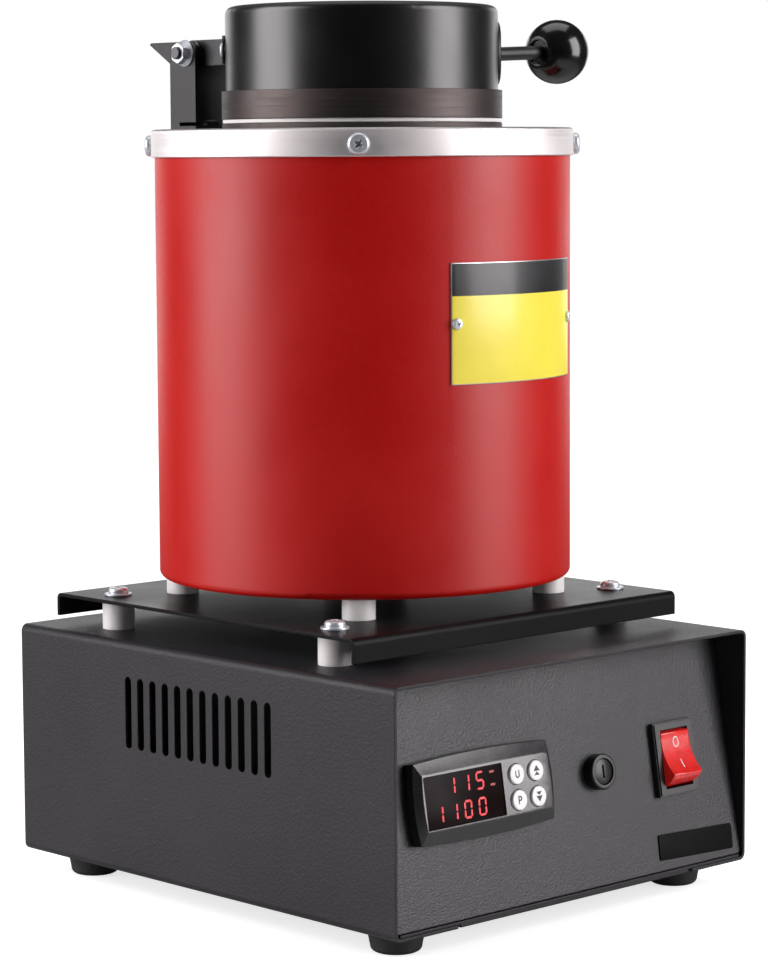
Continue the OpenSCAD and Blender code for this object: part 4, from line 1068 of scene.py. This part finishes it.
def arm_channel(bm):
    """Two side plates on the pin and the plate that joins them above."""
    flat, tail, rear = -19.4, 6.0, -2.0

    def top(y):
        """Level behind, where the open arm rests on the bracket's shelf, and rising towards the lid."""
        return ARM_UP + 0.1 * max(0.0, flat - y)

    plate_x = (ARM_W - SHEET_T) / 2
    for side in (-1, 1):
        x0 = side * plate_x - SHEET_T / 2
        reach = AXIS_Y + math.sqrt(STRAP_OUT ** 2 - plate_x ** 2) - PIVOT.y - 0.1
        pts = [(reach, -ARM_DOWN + 0.3), (0.0, -ARM_DOWN)]
        for k in range(1, 24):
            a = math.radians(-68 + 136 * k / 24)
            pts.append((tail * math.cos(a), tail * math.sin(a)))
        pts += [(0.0, ARM_UP), (flat, ARM_UP), (reach, top(reach))]
        join_rings(bm, [[(PIVOT.x + x, PIVOT.y + y, PIVOT.z + z) for y, z in pts] for x in (x0, x0 + SHEET_T)])
    rings = []
    for i in range(25):
        x = -ARM_W / 2 + 1.4 + (ARM_W - 2.8) * i / 24
        front = AXIS_Y + math.sqrt((STRAP_R + 0.3) ** 2 - x * x) - PIVOT.y
        rings.append([(PIVOT.x + x, PIVOT.y + y, PIVOT.z + top(y) + dz)
                      for y, dz in ((front, -SHEET_T), (flat, -SHEET_T), (rear, -SHEET_T),
                                    (rear, -0.02), (flat, -0.02), (front, -0.02))])
    join_rings(bm, rings)


def hinge_arm():
    """The moving arm: tabs, side plates and top plate, bored for the pin."""
    bm = bmesh.new()
    for side in (-1, 1):
        arm_tab(bm, side)
    arm_channel(bm)
    o = finish_mesh(bm, "arm_with_tabs", HINGE, Matrix.Identity(4), None, 40)
    across = Matrix.Translation(PIVOT) @ Matrix.Rotation(math.pi / 2, 4, "Y")
    bore = [(0, -40), (PIN_HOLE_R, -40), (PIN_HOLE_R, 40), (0, 40)]
    cut(o, [tool(lambda b: lathe(b, bore, 40), across)])
    bevel(o, 0.25, 40)
    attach(o, "lid")
    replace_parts(o, "hinge_arm")


hinge_arm()


def pin_spacers():
    """A bush against each cheek and a black washer between bush and arm, whose black stands in for the bush's
    shadow on the arm as painted shadow.
    """
    bore, bush_r, bush_l, shade_washer_r, low, top = PIN_HOLE_R + 0.01, 4.0, 2.35, 5.7, 2.4, 3.2
    bush, washer = bmesh.new(), bmesh.new()
    for side in (-1, 1):
        m = Matrix.Rotation(-side * math.pi / 2, 4, "Y") @ at(0, 0, SHEET_T - BRACKET_W / 2)
        m = Matrix.Translation(PIVOT) @ m
        lathe(bush, [(bore, 0), (bush_r - 0.2, 0), (bush_r, 0.2), (bush_r, bush_l - 0.2),
                     (bush_r - 0.2, bush_l), (bore, bush_l), (bore, 0)], 48, m)
        lathe(washer, [(bore, low), (shade_washer_r - 0.2, low), (shade_washer_r, low + 0.15), (shade_washer_r, top - 0.15),
                       (shade_washer_r - 0.2, top), (bore, top), (bore, low)], 48, m)
    bushes = finish_mesh(bush, "pin_bushes", ZINC, Matrix.Identity(4), "furnace", 40)
    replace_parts(bushes, "hinge_spacers")
    # Painted shadow: the black washers take the place of the bushes' shade on the arm.
    finish_mesh(washer, "pin_shadow_washers", BLACK, Matrix.Identity(4), "furnace", 40)


pin_spacers()

# ---------------------------------------------------------------- heating element in the core's grooves


def heating_wire():
    """One coiled wire for each groove of the heater core."""
    bm = bmesh.new()
    grooves, first_z, groove_step = 8, RING_TOP - 133, 15.5
    groove_r, coil_r, turns, per_turn = 38.2, 1.35, 110, 6
    wire, section = 0.45, [2 * math.pi * k / 5 for k in range(5)]
    for g in range(grooves):
        z0 = first_z + g * groove_step
        rings = []
        for i in range(turns * per_turn):
            a = 2 * math.pi * i / (turns * per_turn)
            b = 2 * math.pi * i / per_turn
            r = groove_r + coil_r * math.cos(b)
            centre = Vector((r * math.cos(a), r * math.sin(a), z0 + coil_r * math.sin(b)))
            n1 = Vector((math.cos(a) * math.cos(b), math.sin(a) * math.cos(b), math.sin(b)))
            n2 = Vector((-math.sin(a), math.cos(a), 0))
            rings.append([centre + wire * (n1 * math.cos(c) + n2 * math.sin(c)) for c in section])
        join_rings(bm, rings)
    finish_mesh(bm, "heating_wire", COIL, AXIS, "furnace", 80)


heating_wire()

# ---------------------------------------------------------------- floor, light and camera


def floor():
    """Pale studio floor. Away from the object it fades to the plain white of the backdrop."""
    half = 6000
    bm = bmesh.new()
    for x, y in ((-half, -half), (half, -half), (half, half), (-half, half)):
        bm.verts.new((x, y, 0))
    bm.faces.new(bm.verts)
    s = Shader("studio_floor")
    s.set(Roughness=0.8, Specular_IOR_Level=0.1, Emission_Color=(1, 1, 1, 1))
    length = s.node("ShaderNodeVectorMath", operation="LENGTH")
    s.link(s.coord, length.inputs[0])
    s.colour(s.ramp(length.outputs["Value"], [(0.30, (0.68, 0.68, 0.68)), (0.85, (0.05, 0.05, 0.05))]))
    fade = s.value(length.outputs["Value"], 0.72, 1.1, 0.20, 0.7)
    seen = s.node("ShaderNodeLightPath").outputs["Is Camera Ray"]
    s.link(s.math("MULTIPLY", fade, seen), s.b.inputs["Emission Strength"])
    finish_mesh(bm, "studio_floor", s, at(0, 0, -0.02), None)


floor()


def softbox(name, azimuth, elevation, distance, w, h, power, colour=(1, 1, 1)):
    """A soft area light aimed at the object's middle. Azimuth 0 is at -Y, 90 at -X."""
    a, e = math.radians(azimuth), math.radians(elevation)
    target = Vector((0, 0, 0.19))
    back = Vector((-math.sin(a) * math.cos(e), -math.cos(a) * math.cos(e), math.sin(e)))
    light = bpy.data.lights.new(name, "AREA")
    light.shape, light.size, light.size_y = "RECTANGLE", w, h
    light.energy, light.color = power, colour
    o = bpy.data.objects.new(name, light)
    o.rotation_mode = "QUATERNION"
    o.rotation_quaternion = back.to_track_quat("Z", "Y")
    o.location = target + back * distance
    bpy.context.scene.collection.objects.link(o)


VIEW_AZ = 43.4
WARM = (1, 0.965, 0.985)
softbox("key_left", VIEW_AZ + 79, 16, 1.6, 1.05, 1.6, 35, WARM)
softbox("fill_right", VIEW_AZ - 74, 16, 1.6, 0.90, 1.6, 33, WARM)
softbox("top", VIEW_AZ + 180, 76, 1.8, 1.6, 1.2, 12)
softbox("backdrop", VIEW_AZ + 180, 5, 1.9, 3.0, 1.3, 20)


def world():
    """White where the camera sees it, dim as a light."""
    w = bpy.data.worlds.new("studio")
    bpy.context.scene.world = w
    w.use_nodes = True
    t = w.node_tree
    bg = t.nodes["Background"]
    bg.inputs["Color"].default_value = (1, 1, 1, 1)
    bg.inputs["Strength"].default_value = 1.0
    dim = t.nodes.new("ShaderNodeBackground")
    dim.inputs["Color"].default_value = (0.95, 0.97, 1.0, 1)
    dim.inputs["Strength"].default_value = 0.03
    path = t.nodes.new("ShaderNodeLightPath")
    mix = t.nodes.new("ShaderNodeMixShader")
    t.links.new(path.outputs["Is Camera Ray"], mix.inputs[0])
    t.links.new(dim.outputs[0], mix.inputs[1])
    t.links.new(bg.outputs[0], mix.inputs[2])
    t.links.new(mix.outputs[0], t.nodes["World Output"].inputs["Surface"])


world()


def camera():
    """The photograph's view: place, direction and focal length from points of the object."""
    az, el, roll = math.radians(-43.4235), math.radians(5.9778), math.radians(-0.3348)
    back = Vector((math.sin(az) * math.cos(el), -math.cos(az) * math.cos(el), math.sin(el)))
    right = (-back).cross(Vector((0, 0, 1))).normalized()
    up = right.cross(-back)
    r2 = right * math.cos(roll) + up * math.sin(roll)
    u2 = up * math.cos(roll) - right * math.sin(roll)
    m = Matrix((r2, u2, back)).transposed().to_4x4()
    m.translation = Vector((CX - 898.9, CY - 952.8, 307.2)) * MM
    cam = bpy.data.cameras.new("camera")
    cam.sensor_width, cam.lens = 36.0, 3121.52 * 36 / 962
    cam.clip_start, cam.clip_end = 0.05, 60
    o = bpy.data.objects.new("camera", cam)
    o.matrix_world = m
    bpy.context.scene.collection.objects.link(o)
    bpy.context.scene.camera = o


camera()
bpy.context.scene.view_settings.view_transform = "Standard"
bpy.context.scene.view_settings.look = "None"
